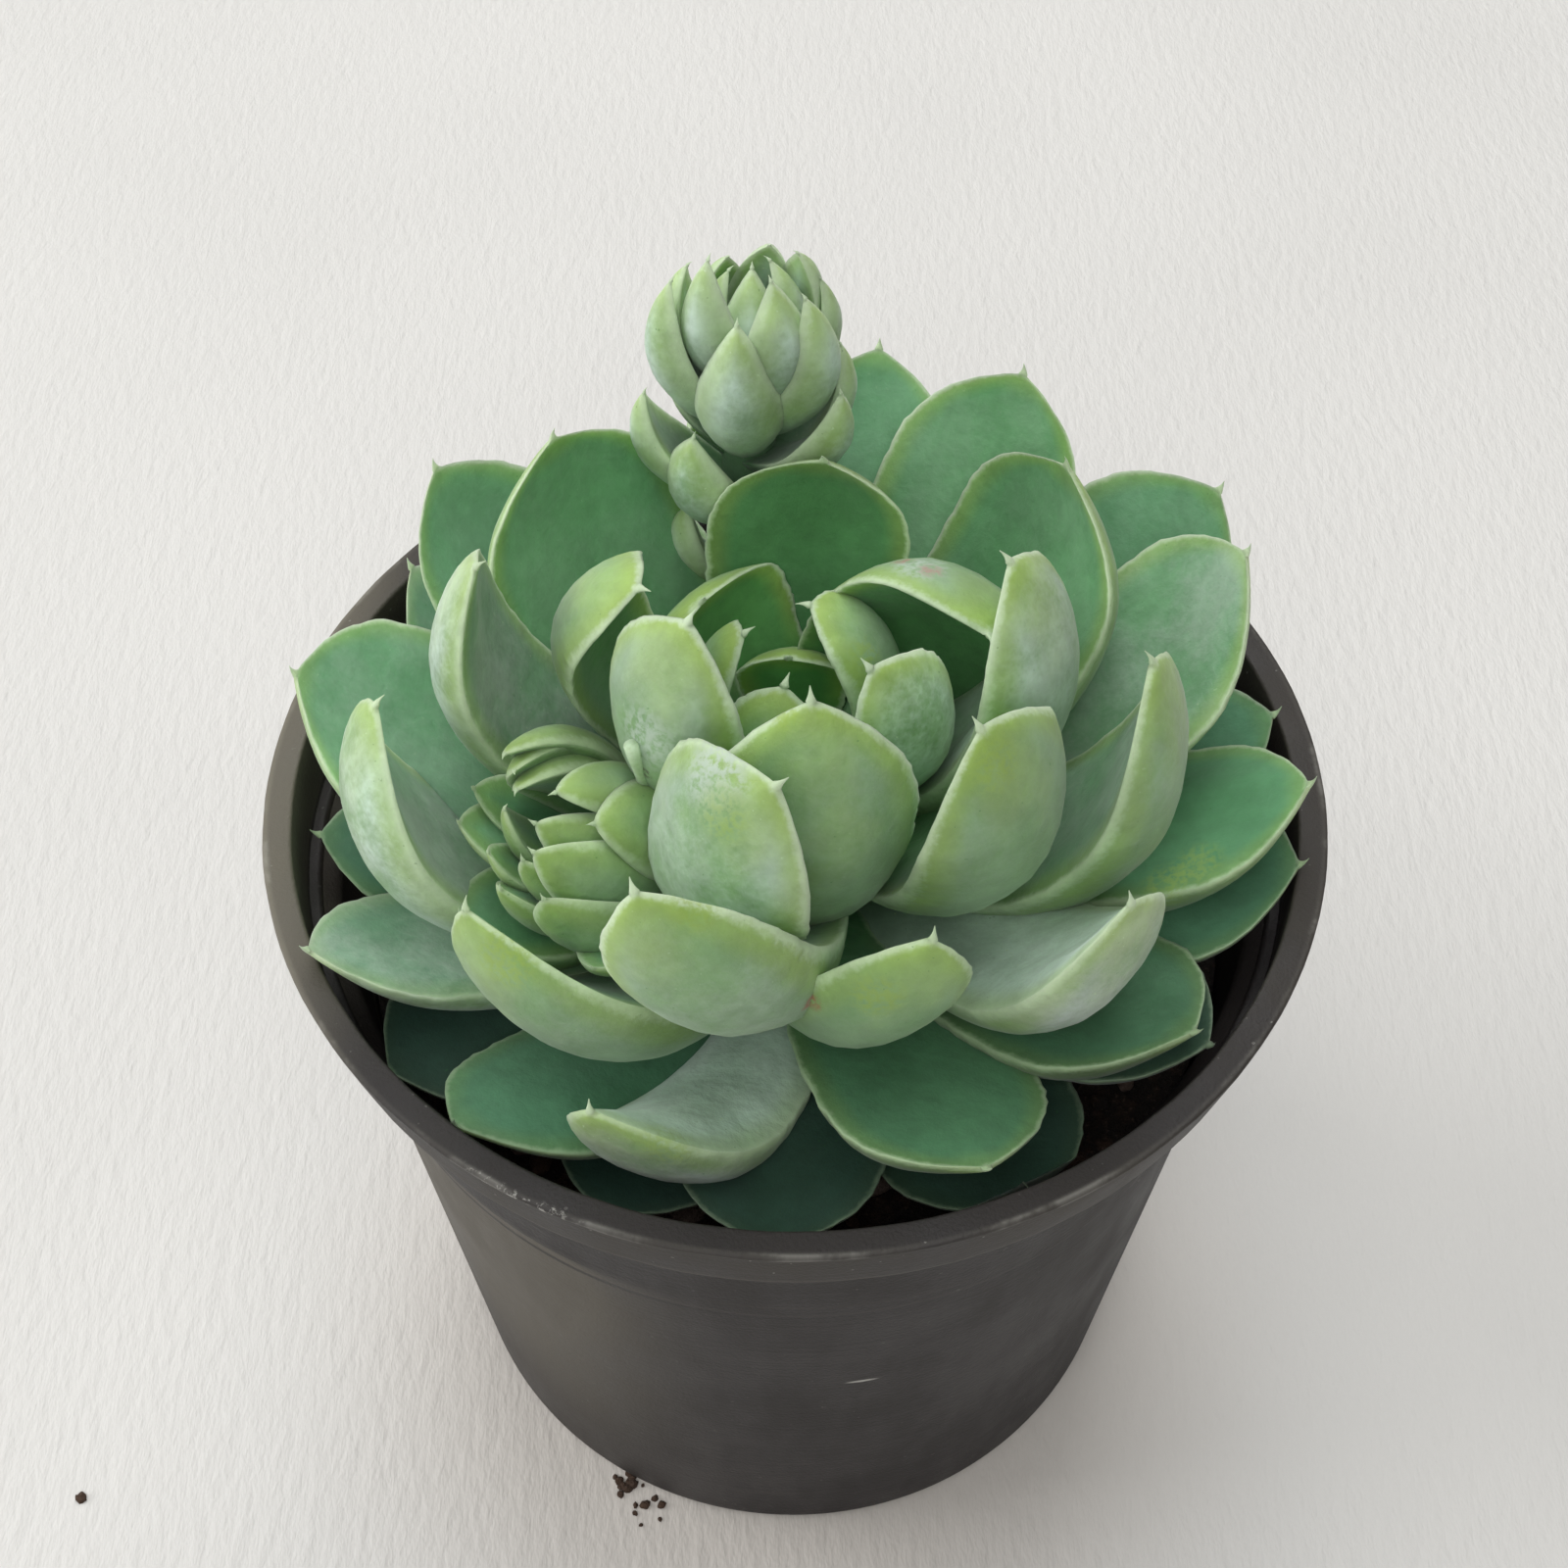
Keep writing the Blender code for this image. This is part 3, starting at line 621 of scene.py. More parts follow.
def dress(obj, slot, *nodes):
    """Rides a piece on the plant's one body and hides the solids that it stands for."""
    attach(obj, "root")
    if nodes:
        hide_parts(*nodes)


def leaf_curve(curl, span):
    """Points (along the chord, above it, slope) of a line that bends upwards by curl degrees."""
    slopes = [math.radians(curl) * (i / CURVE_STEPS) ** 1.5 for i in range(CURVE_STEPS + 1)]
    along, up = [0.0], [0.0]
    for first, second in zip(slopes, slopes[1:]):
        along.append(along[-1] + (math.cos(first) + math.cos(second)) / 2)
        up.append(up[-1] + (math.sin(first) + math.sin(second)) / 2)
    turn = math.atan2(up[-1], along[-1])
    scale = span / math.hypot(up[-1], along[-1])
    c, s = math.cos(turn) * scale, math.sin(turn) * scale
    return [(y * c + z * s, z * c - y * s, slope - turn) for y, z, slope in zip(along, up, slopes)]


def inside_pot(point):
    """A leaf's point, pressed inwards where it would pass through the pot's wall."""
    reach = math.hypot(point.x, point.y)
    limit = (LIP_INNER_RADIUS if point.z > NECK_HEIGHT else wall_radius(point.z) - WALL) - LEAF_GAP
    if point.z > POT_HEIGHT + 0.3 or reach < limit:
        return point
    return Vector((point.x * limit / reach, point.y * limit / reach, point.z))


def add_spike(shell, form, ring, side, up, ahead, seed, values):
    """The small spike that closes a leaf from its last ring of points."""
    tail = sum((shell.points[i] for i in ring), Vector()) / len(ring) / MM
    bend = noise.noise((seed * 3.1, 1, 2)) * 0.35
    rings = [ring]
    for step in SPIKE_RINGS:
        radius = form.spike_width * (1 - step) ** 1.6 + 0.3 * form.spike_width * (1.05 - step) ** 0.35
        centre = tail + ahead * form.spike * step + (up * 0.5 + side * bend) * form.spike * step * step
        row = []
        for c, s in circle(len(ring)):
            place = centre + side * radius * c - up * radius * 0.7 * s
            row.append(shell.add(inside_pot(place), under=0.5, edge=0, along=1, **values))
        rings.append(row)
    shell.tube(rings)
    shell.fan(row, shell.add(inside_pot(centre + ahead * 0.05), under=0.5, edge=0, along=1, **values))


def add_leaf(shell, form, foot, tip, width, curl, azimuth, cupping, seed, roll=0, bow=0, **values):
    """A thick leaf, hollow above and rounded below, that ends in a small spike."""
    chord = (tip - foot).normalized()
    side = Vector((*heading(azimuth), 0)).cross(UP)
    side = (side - side.dot(chord) * chord).normalized()
    face = side.cross(chord)
    turn = Matrix.Rotation(-math.radians(roll), 3, chord)
    side, face = turn @ side, turn @ face
    span = (tip - foot).length - form.tip_gap
    curve = leaf_curve(curl, span)
    last = form.columns - 1
    rows = []
    for station in range(form.stations):
        t = 1 - (1 - station / (form.stations - 1)) ** TIP_CROWDING
        at = t * CURVE_STEPS
        low = min(int(at), CURVE_STEPS - 1)
        along, above, slope = (a + (b - a) * (at - low) for a, b in zip(curve[low], curve[low + 1]))
        half = width / 2 * form.half_width(t)
        thick = (form.depth - cupping) * width * (0.65 + 0.35 * math.sin(math.pi * min(t / 0.95, 1)))
        thick *= 1 - 0.9 * max(0, (t - 0.5) / 0.5) ** 3
        cup = cupping * width * form.half_width(t) * (0.3 + 0.7 * min(1, t / 0.5))
        up = face * math.cos(slope) - chord * math.sin(slope)
        ahead = chord * math.cos(slope) + face * math.sin(slope)
        centre = foot + chord * along + face * above + side * bow * math.sin(math.pi * t)
        row = []
        # The points run from one margin over the underside to the other, and back over the upper face.
        for i, (x, _) in enumerate(circle(2 * last)):
            under = i <= last
            hand = math.copysign(1, x)
            wave = form.wave * noise.noise((t * 3.5 + seed, hand * 4, seed * 1.7)) * abs(x) ** 3
            tooth = form.tooth * noise.noise((t * 37 + seed, hand * 9, 0.3)) * abs(x) ** 6
            z = -cup * (1 - x * x)
            if under:
                z -= thick * (1 - abs(x) ** 2.2) ** 0.75 * (1 + 0.05 * noise.noise((x * 2, t * 4, seed)))
            else:
                dent = 0.05 * width * noise.noise((x * 1.3 + seed, t * 2.2, 5))
                z += dent * (1 - x * x) * min(1, 4 * (1 - t))
            place = inside_pot(centre + side * (x * half + hand * tooth) + up * (z + wave))
            edge = min(half * (1 - abs(x)), (1 - t) * span + 0.15)
            share = 0.5 if i in (0, last) else float(under)
            row.append(shell.add(place, under=share, edge=edge, along=t, across=x * half, **values))
        rows.append(row)
    shell.fan(rows[0], shell.add(foot, under=0.5, edge=2, **values))
    shell.tube(rows)
    add_spike(shell, form, rows[-1], side, up, ahead, seed, values)


def add_stem(shell, start, end, radius, knots, share=0.2, **values):
    """A round stem with the scars of old leaves on it, coloured as a leaf is at this share of its length."""
    values.update(under=1, edge=3, along=share)
    along = (end - start).normalized()
    side = along.orthogonal().normalized()
    other = along.cross(side)
    rows = []
    for step in range(knots + 1):
        centre = start + (end - start) * step / knots
        row = []
        for c, s in circle(STEM_SIDES):
            swell = 1 + 0.06 * noise.noise((c * 2, s * 2, step * 0.7))
            swell -= 0.05 * (step % 2)
            row.append(shell.add(centre + (side * c + other * s) * radius * swell, **values))
        rows.append(row)
    shell.tube(rows)
    shell.fan(rows[0], shell.add(start, **values))
    shell.fan(rows[-1], shell.add(end, **values))


LEAF_VALUES = ("under", "edge", "along", "across", "tone", "young", "bloom")


def leaf_material(name, settings, spots=(), wax=0.0):
    """Green leaf under a waxy bloom, with a pale margin, a yellow-green band and small marks."""
    paint = Paint(name)
    under, edge, along, across, tone, young, bloom = (paint.attribute(value) for value in LEAF_VALUES)
    place = paint.place()
    cloud = paint.noise(place, size=6.5, detail=3, roughness=0.55)
    streak = paint.noise(paint.joined(across * 0.9, along * 2.2, tone * 9), size=1, detail=3)
    grain = paint.noise(place, size=0.5, detail=3, roughness=0.6)
    speck = paint.noise(place, size=0.34, detail=1)
    mottle = paint.noise(place, size=2.2, detail=4, roughness=0.65)
    shade_share = paint.smooth(bloom, 0.2, -1)

    # The upper face under its film of wax
    upper = paint.mix(young, settings.outer, settings.inner)
    film = paint.smooth(cloud * 0.9 + grain * 0.3, 0.4, 0.8)
    upper = paint.mix(paint.smooth(bloom, 0, 1) * (0.22 + 0.5 * film), upper, settings.bloom)
    # A bloom above 1.6 paints the upper face pale frost: partly thick wax, partly a painted highlight where
    # light falls on it.
    upper = paint.mix(paint.smooth(bloom, 1.6, 2.3) * (0.7 + 0.3 * film), upper, settings.frost_and_highlight)

    # The underside, waxy towards the tip, with yellow-green patches
    waxed = (0.1 + 0.6 * film) * (0.35 + 0.5 * bloom) * paint.smooth(along, 0.1, 0.75)
    lower = paint.mix(waxed, settings.below, settings.bloom)
    # Undersides with a bloom between 0.8 and 2.2 are painted frost-white towards the tip: partly thick wax,
    # partly a painted highlight.
    white = paint.smooth(bloom, 0.8, 1.6) * paint.smooth(bloom, 2.2, 1.8) * paint.smooth(along, 0.3, 0.9)
    lower = paint.mix(white * film, lower, settings.frost_and_highlight)
    lower = paint.mix(wax * (0.4 + film), lower, settings.frost_and_highlight)
    warm = paint.smooth(paint.noise(place, size=6, detail=3), 0.5, 0.72)
    lower = paint.mix(warm * 0.2, lower, settings.band)
    blotch = paint.smooth(along + 0.4 * cloud, 0.95, 1.2) * paint.smooth(across * across, 12, 1)
    lower = paint.mix(blotch * 0.5, lower, settings.band)

    # The foot, the band inside the margin, and the margin
    body = paint.mix(paint.smooth(under, 0.3, 0.7), upper, lower)
    # The feet are painted deep green: partly their own deeper green, partly painted shade where the leaves
    # crowd together.
    body = paint.mix(paint.smooth(along, 0.5, 0.08) * 0.8, body, settings.deep)
    reach = edge + 0.9 * cloud - 0.45
    band = paint.smooth(reach, 2.2, 0.4) * (0.25 + 0.45 * young) * paint.smooth(along, 0.2, 0.6)
    body = paint.mix(band, body, settings.band)
    rim = paint.smooth(edge + 0.6 * grain - 0.3, 0.55, 0.05) * paint.smooth(along, 0.05, 0.4)
    # Leaves with a low bloom are painted the old dark green: partly their own older colour, partly painted
    # shade low in the rosette.
    body = paint.mix(shade_share * 0.92, body, settings.old)
    # The pale margin is partly the leaf's own pale edge and partly a painted glow of light through the thin
    # edge.
    body = paint.mix(rim * (0.45 + 0.45 * young) * (1 - 0.6 * shade_share), body, settings.margin)

    # Specks, light and shade over the face, and the marks
    body = paint.mix(paint.smooth(speck, 0.74, 0.8) * 0.35 * bloom, body, settings.margin)
    body = paint.mix(paint.smooth(speck, 0.24, 0.19) * 0.4, body, settings.deep)
    shade = 0.83 + 0.06 * tone + 0.16 * paint.smooth(mottle + 0.25 * streak, 0.45, 0.8)
    # Towards the tip the leaf is painted lighter: a painted glow of light through the leaf.
    body = paint.scaled(body, shade + 0.15 * paint.smooth(along, 0.45, 0.95))
    for point, radius, tint, strength in spots:
        patch = paint.near(place, point, radius) * paint.smooth(grain, 0.35, 0.6)
        body = paint.mix(patch * strength, body, getattr(settings, tint))
    return paint.done(
        {
            "Base Color": body,
            "Roughness": 0.42 + 0.22 * film,
            "Normal": paint.bump(grain, 0.00006, paint.bump(cloud, 0.0005)),
            "IOR": 1.42,
            "Subsurface Weight": 0.35,
            "Subsurface Radius": (0.8, 0.8, 0.7),
            "Subsurface Scale": 0.0025,
            "Sheen Weight": 0.14,
            "Sheen Roughness": 0.5,
        }
    )


class ECHEVERIA_OT_rosette(Operator):
    """Makes the main rosette: its stem and its rings of leaves"""

    bl_idname = "echeveria.rosette"
    bl_label = "Make Rosette"

    def execute(self, context):
        settings = context.scene.echeveria_leaves
        draw = random.Random(settings.seed)
        shell = Shell(LEAF_VALUES)
        for ring, rows in LEAVES.items():
            rise, reach = LEAF_FOOT[ring]
            for azimuth, r, height, width, roll, curl, bow, sway, cupping, bloom in rows:
                c, s = heading(azimuth)
                foot = Vector((reach * c, reach * s, POT_HEIGHT + rise))
                tip = Vector((r * c + sway * s, r * s - sway * c, POT_HEIGHT + height))
                add_leaf(
                    shell, ROSETTE_FORM, foot, tip, width, curl, azimuth, cupping, roll=roll, bow=bow,
                    seed=draw.uniform(0, 90), tone=draw.uniform(-1, 1), young=YOUTH[ring], bloom=bloom,
                )
        add_stem(shell, UP * STEM_FOOT, UP * STEM_TOP, STEM_RADIUS, knots=12, bloom=0.3)
        rosette = shell.object("rosette_leaves", leaf_material("glaucous leaf", settings, LEAF_SPOTS))
        dress(rosette, "rosette_leaf", "main_rosette")
        return {"FINISHED"}


class ECHEVERIA_OT_offset(Operator):
    """Makes the young offset at the side of the rosette"""

    bl_idname = "echeveria.offset"
    bl_label = "Make Offset"

    def execute(self, context):
        settings = context.scene.echeveria_leaves
        draw = random.Random(settings.seed + 1)
        shell = Shell(LEAF_VALUES)
        top = UP * POT_HEIGHT
        foot = Vector(OFFSET_FOOT) + top
        for x, y, height, width, curl, azimuth, cupping in OFFSET_LEAVES:
            tip = Vector((x, y, height)) + top
            add_leaf(
                shell, OFFSET_FORM, foot, tip, width, curl, azimuth, cupping,
                seed=draw.uniform(0, 90), tone=draw.uniform(-3, -1), young=0.35, bloom=draw.uniform(0.1, 0.5),
            )
        root, end = Vector(OFFSET_STEM_ROOT) + top, foot + Vector(OFFSET_STEM_REACH)
        add_stem(shell, root, end, OFFSET_STEM_RADIUS, knots=6)
        root, end = Vector(STUB_FOOT) + top, Vector(STUB_TIP) + top
        add_stem(shell, root, end, STUB_RADIUS, knots=5, share=0.9, bloom=1.6)
        offset = shell.object("offset_leaves", leaf_material("young leaf", settings))
        dress(offset, "offset_leaf", "offset_rosette")
        return {"FINISHED"}


class ECHEVERIA_OT_shoot(Operator):
    """Makes the upright leafy shoot at the back"""

    bl_idname = "echeveria.shoot"
    bl_label = "Make Shoot"

    def execute(self, context):
        settings = context.scene.echeveria_leaves
        draw = random.Random(settings.seed + 2)
        shell = Shell(LEAF_VALUES)
        stalk = Vector((SHOOT_X, SHOOT_Y, POT_HEIGHT))
        for x, y, height, span, width, azimuth in SHOOT_LEAVES:
            c, s = heading(azimuth)
            foot = stalk + Vector((SHOOT_LEAF_FOOT * c, SHOOT_LEAF_FOOT * s, height - span))
            tip = stalk + Vector((x, y, height))
            add_leaf(
                shell, SHOOT_FORM, foot, tip, width, SHOOT_CURL, azimuth, cupping=0.02,
                seed=draw.uniform(0, 90), tone=draw.uniform(-1, 1), young=0.6, bloom=draw.uniform(1.4, 1.9),
            )
        foot = Vector((SHOOT_X, SHOOT_Y, SHOOT_FOOT))
        add_stem(shell, foot, stalk + UP * SHOOT_TOP, SHOOT_STALK_RADIUS, knots=18, bloom=0.6)
        shoot = shell.object("shoot_leaves", leaf_material("pale leaf", settings, wax=0.35))
        dress(shoot, "shoot_leaf", "leafy_shoot")
        return {"FINISHED"}


def rounded(profile, steps=5):
    """The profile (radius, height, rounding) with each corner turned into a small curve."""
    points = []
    for i, (r, z, rounding) in enumerate(profile):
        here = Vector((r, z))
        if rounding == 0 or i in (0, len(profile) - 1):
            points.append(here)
            continue
        before = Vector(profile[i - 1][:2]) - here
        after = Vector(profile[i + 1][:2]) - here
        start = here + before.normalized() * min(rounding, before.length / 2)
        end = here + after.normalized() * min(rounding, after.length / 2)
        for step in range(steps + 1):
            t = step / steps
            points.append(start * (1 - t) ** 2 + here * 2 * t * (1 - t) + end * t * t)
    return points


def pot_material(settings):
    """Dark matt plastic with dust, rubbed edges, scratches and small chips along the rim, and painted
    highlights and painted shade.
    """
    paint = Paint("dusty pot plastic")
    place = paint.place()
    x, y, z = paint.split(place)
    reach = (x * x + y * y) ** 0.5
    cloud = paint.noise(place, size=16, detail=4, roughness=0.6)
    grime = paint.noise(paint.stretched(place, (1, 1, 0.25)), size=5, detail=4, roughness=0.6)
    ring = paint.noise(paint.stretched(place, (0.04, 0.04, 1)), size=0.5)
    grain = paint.noise(place, size=0.28, roughness=0.6)
    fleck = paint.noise(place, size=0.55, detail=1)
    scuff = paint.noise(paint.stretched(place, (0.35, 0.35, 1.6)), size=0.8)
    ragged = paint.noise(place, size=0.7, detail=3, roughness=0.7)

    # The dry film, and a painted highlight on the lit left and right flanks, both growing towards the top
    film = paint.smooth(cloud * 0.7 + grime * 0.5, 0.42, 0.8)
    # The flanks are painted lighter with the dust colour: a painted highlight where the light falls on the
    # pot's sides.
    lit_flank = paint.smooth(x, *LIT_LEFT_SIDE) * (0.75 + 0.6 * film) * paint.smooth(z, SHOULDER, SHOULDER - 2)
    lit_flank = lit_flank + 0.5 * paint.smooth(x, *LIT_FAR_LEFT_SIDE) + 0.05 * paint.smooth(x, *LIT_RIGHT_SIDE)
    film_and_highlight_share = (0.01 + 0.1 * film + lit_flank) * (0.2 + 0.8 * paint.smooth(z, *FILM_RISE))
    body = paint.mix(film_and_highlight_share, settings.plastic, settings.dust_and_highlight)
    body = paint.mix(paint.smooth(ring, 0.62, 0.75) * 0.03, body, settings.dust_and_highlight)

    # A painted shade line at each step of the wall, with a faint painted highlight just above it
    for level in (NECK_HEIGHT + 0.1, SHOULDER, SHOULDER_LINE):
        off = z - level
        body = paint.mix(paint.smooth(off * off, 0.12, 0.01) * 0.8, body, settings.plastic)
        above = off - 0.4
        body = paint.mix(paint.smooth(above * above, 0.05, 0.0) * 0.14, body, settings.dust_and_highlight)
    body = paint.mix(paint.smooth(fleck, 0.755, 0.79) * 0.4, body, settings.chip_and_highlight)
    scuffed = paint.smooth(scuff, 0.78, 0.81) * paint.smooth(cloud, 0.5, 0.62)
    body = paint.mix(scuffed * 0.5, body, settings.chip_and_highlight)

    # The rim: its rubbed outer edge with chips in it and a painted highlight along it, its flat top painted
    # darker, most at the front, and its inside painted dark as painted shade
    rise, out = z - POT_HEIGHT, reach - RIM_RADIUS
    # The outer edge is partly rubbed plastic and partly a painted highlight along the rim.
    outer = paint.smooth(rise, -0.5, -0.2) * paint.smooth(out, -0.7, -0.3)
    outer = outer * paint.smooth(rise + out, 0, -0.35)
    body = paint.mix(outer * (0.03 + 0.25 * paint.smooth(grime, 0.5, 0.65)), body, settings.chip_and_highlight)
    chipped = outer * paint.near(place, RIM_CHIPS, RIM_CHIPS_RADIUS) * paint.smooth(ragged, 0.52, 0.62)
    body = paint.mix(chipped * 0.8, body, settings.chip_and_highlight)
    flat = paint.smooth(rise, -0.25, -0.1) * paint.smooth(out, -0.3, -0.6)
    body = paint.mix(flat * (0.25 + 0.45 * paint.smooth(y, -12, -30)), body, settings.plastic)
    # Inside the rim the wall is painted dark: painted shade in the pot's hollow.
    inside = paint.smooth(reach, LIP_INNER_RADIUS + 0.2, LIP_INNER_RADIUS - 0.1)
    body = paint.mix(inside * 0.7, body, settings.plastic)
    scratch = paint.near(paint.stretched(place, (1, 1, SCRATCH_FLATNESS)), POT_SCRATCH, POT_SCRATCH_RADIUS)
    body = paint.mix(scratch * 0.85, body, settings.chip_and_highlight)
    return paint.done(
        {
            "Base Color": body,
            "Roughness": 0.5 + 0.22 * film,
            "Normal": paint.bump(grain + 0.6 * ring, 0.00006),
            "IOR": 1.46,
        }
    )


def drill(pot, c, s):
    """Cuts a drain hole through the pot's base, in the direction with this cosine and sine."""
    cone = bmesh.new()
    spot = Vector((c, s, 0)) * DRAIN_HOLE_REACH * MM
    bmesh.ops.create_cone(
        cone,
        cap_ends=True,
        segments=HOLE_SIDES,
        radius1=DRAIN_HOLE_RADIUS * MM,
        radius2=DRAIN_HOLE_RADIUS * MM,
        depth=FLOOR * 4 * MM,
        matrix=Matrix.Translation(spot),
    )
    bit = placed("drill", mesh_of("drill", cone))
    cut = pot.modifiers.new("drain", "BOOLEAN")
    cut.operation = "DIFFERENCE"
    cut.object = bit
    bpy.context.view_layer.update()
    holed = pot.evaluated_get(bpy.context.evaluated_depsgraph_get())
    mesh = bpy.data.meshes.new_from_object(holed)
    pot.modifiers.clear()
    pot.data = mesh
    bpy.data.objects.remove(bit)


class ECHEVERIA_OT_pot(Operator):
    """Makes the turned pot with its lip and drain holes"""

    bl_idname = "echeveria.pot"
    bl_label = "Make Pot"

    def execute(self, context):
        settings = context.scene.echeveria_pot
        corner = settings.corner / MM
        shoulder = wall_radius(SHOULDER)
        # From the middle of the underside round the rim to the middle of the floor
        profile = (
            (0, HOLLOW_DEPTH, 0),
            (HOLLOW_RADIUS, HOLLOW_DEPTH, FOOT_ROUNDING),
            (HOLLOW_RADIUS + 0.7, 0, FOOT_ROUNDING),
            (FOOT_RADIUS - 0.6, 0, FOOT_ROUNDING),
            (FOOT_RADIUS + 0.05, 1, 0.8),
            (shoulder - 0.15, SHOULDER - 0.3, 0.15),
            (shoulder + 0.2, SHOULDER, 0.15),
            (NECK_RADIUS + 0.1, NECK_HEIGHT + 0.05, 0.35),
            (LIP_FOOT_RADIUS, NECK_HEIGHT + 0.05, 0.5),
            (LIP_FOOT_RADIUS + 0.3, NECK_HEIGHT + 1.3, 0.5),
            (RIM_RADIUS, POT_HEIGHT, corner),
            (LIP_INNER_RADIUS + 0.1, POT_HEIGHT, corner),
            (LIP_INNER_RADIUS - 0.2, NECK_HEIGHT, 0.5),
            (NECK_RADIUS - WALL, NECK_HEIGHT - 1.6, 0.6),
            (wall_radius(FLOOR) - WALL, FLOOR, 0.8),
            (0, FLOOR, 0),
        )
        shell = Shell()
        rows = []
        for r, z in rounded(profile):
            if r == 0:
                rows.append([shell.add(UP * z)])
                continue
            row = []
            for c, s in circle(settings.sides):
                # A thin moulded pot is never quite round, least of all at its rim.
                sag = 0.1 * noise.noise((c * 1.3, s * 1.3, z / 40)) * z / POT_HEIGHT
                dent = 0.05 * noise.noise((c * 14, s * 14, z / 3)) if z > NECK_HEIGHT else 0
                rise = 0.07 * noise.noise((c * 2.2, s * 2.2, 9)) * max(0, z / POT_HEIGHT - 0.9) * 10
                radius = r + sag + dent
                row.append(shell.add(Vector((radius * c, radius * s, z + rise))))
            rows.append(row)
        shell.fan(rows[1], rows[0][0])
        shell.tube(rows[1:-1])
        shell.fan(rows[-2], rows[-1][0])
        pot = shell.object("nursery_pot", pot_material(settings))
        for c, s in circle(DRAIN_HOLES, turned=0.5):
            drill(pot, c, s)
        pot.data.shade_smooth()
        pot.data.set_sharp_from_angle(angle=math.radians(50))
        dress(pot, "pot_plastic", "pot")
        return {"FINISHED"}


def add_lump(shell, centre, size, flat, seed, turn, kind):
    """A small uneven lump, such as a piece of bark."""
    ball = bmesh.new()
    bmesh.ops.create_icosphere(ball, subdivisions=2, radius=1)
    start = len(shell.points)
    for v in ball.verts:
        shape = 1 + 0.45 * noise.noise(v.co * 1.1 + Vector((seed, 0, 0)))
        local = Vector((v.co.x * 1.3, v.co.y, v.co.z * flat)) * size * shape
        shell.add(centre + turn @ local, kind=kind)
    shell.faces.extend([start + v.index for v in f.verts] for f in ball.faces)
    ball.free()


def mix_height(x, y, lump):
    """Height of the potting mix, which swells in broad lumps and sinks a little at the wall."""
    point = Vector((x / 7, y / 7, 3.7))
    edge = math.hypot(x, y) / NECK_RADIUS
    return MIX_TOP + lump * noise.noise(point) - 0.8 * edge**4


def mix_material(name, settings):
    """Dark peat with browner crumbs. A bit's kind makes it peat, bark or grit."""
    paint = Paint(name)
    place = paint.place()
    kind = paint.attribute("kind")
    grain = paint.noise(place, size=0.4, detail=4, roughness=0.7)
    crumb = paint.noise(place, size=1.6, detail=3, roughness=0.6)
    body = paint.mix(paint.smooth(crumb, 0.45, 0.7) * 0.7, settings.peat, settings.bark)
    body = paint.mix(paint.smooth(kind, 0.3, 0.6), body, settings.bark)
    body = paint.mix(paint.smooth(kind, 0.7, 0.95), body, settings.grit)
    body = paint.mix(paint.smooth(grain, 0.55, 0.75) * 0.3, body, settings.grit)
    return paint.done(
        {
            "Base Color": body,
            "Roughness": 0.7 + 0.25 * crumb,
            "Normal": paint.bump(grain + 1.5 * crumb, 0.0004),
        }
    )


class ECHEVERIA_OT_potting_mix(Operator):
    """Makes the potting mix: its crumbly surface and the bark and grit that lie on it"""

    bl_idname = "echeveria.potting_mix"
    bl_label = "Make Potting Mix"

    def execute(self, context):
        settings = context.scene.echeveria_mix
        draw = random.Random(settings.seed)
        lump = settings.lump / MM
        low = FLOOR + MIX_GAP
        top = wall_radius(MIX_TOP) - WALL - MIX_GAP
        shell = Shell(("kind",))
        rows = []
        for level in (low, MIX_TOP / 3, MIX_TOP * 2 / 3, MIX_TOP - 1.5):
            radius = wall_radius(level) - WALL - MIX_GAP
            rows.append([shell.add(Vector((radius * c, radius * s, level))) for c, s in circle(MIX_SIDES)])
        for ring in range(MIX_RINGS, 0, -1):
            row = []
            for c, s in circle(MIX_SIDES):
                x, y = top * ring / MIX_RINGS * c, top * ring / MIX_RINGS * s
                z = mix_height(x, y, lump) + 0.35 * noise.noise((x, y, 1))
                z += 0.3 * abs(noise.noise((x / 2, y / 2, 4)))
                row.append(shell.add(Vector((x, y, z))))
            rows.append(row)
        shell.tube(rows)
        shell.fan(rows[-1], shell.add(UP * mix_height(0, 0, lump)))
        shell.fan(rows[0], shell.add(UP * low))
        material = mix_material("damp potting mix", settings)
        dress(shell.object("potting_mix_surface", material), "potting_mix", "potting_mix")

        bits = Shell(("kind",))
        for _ in range(settings.bits):
            reach = (top - 1.8) * math.sqrt(draw.uniform(0.04, 1))
            angle = draw.uniform(0, math.tau)
            x, y = reach * math.cos(angle), reach * math.sin(angle)
            kind = draw.random()
            size = draw.uniform(0.35, 0.9) if kind < 0.75 else draw.uniform(0.6, 1.5)
            flat = draw.uniform(0.3, 0.9)
            spin = Matrix.Rotation(draw.uniform(0, math.tau), 3, "Z")
            tip = Matrix.Rotation(draw.uniform(-0.5, 0.5), 3, "X")
            centre = Vector((x, y, mix_height(x, y, lump) + 0.25 + size * 0.2))
            add_lump(bits, centre, size, flat, draw.uniform(0, 99), spin @ tip, kind)
        dress(bits.object("bark_and_grit", material), "potting_mix")
        return {"FINISHED"}


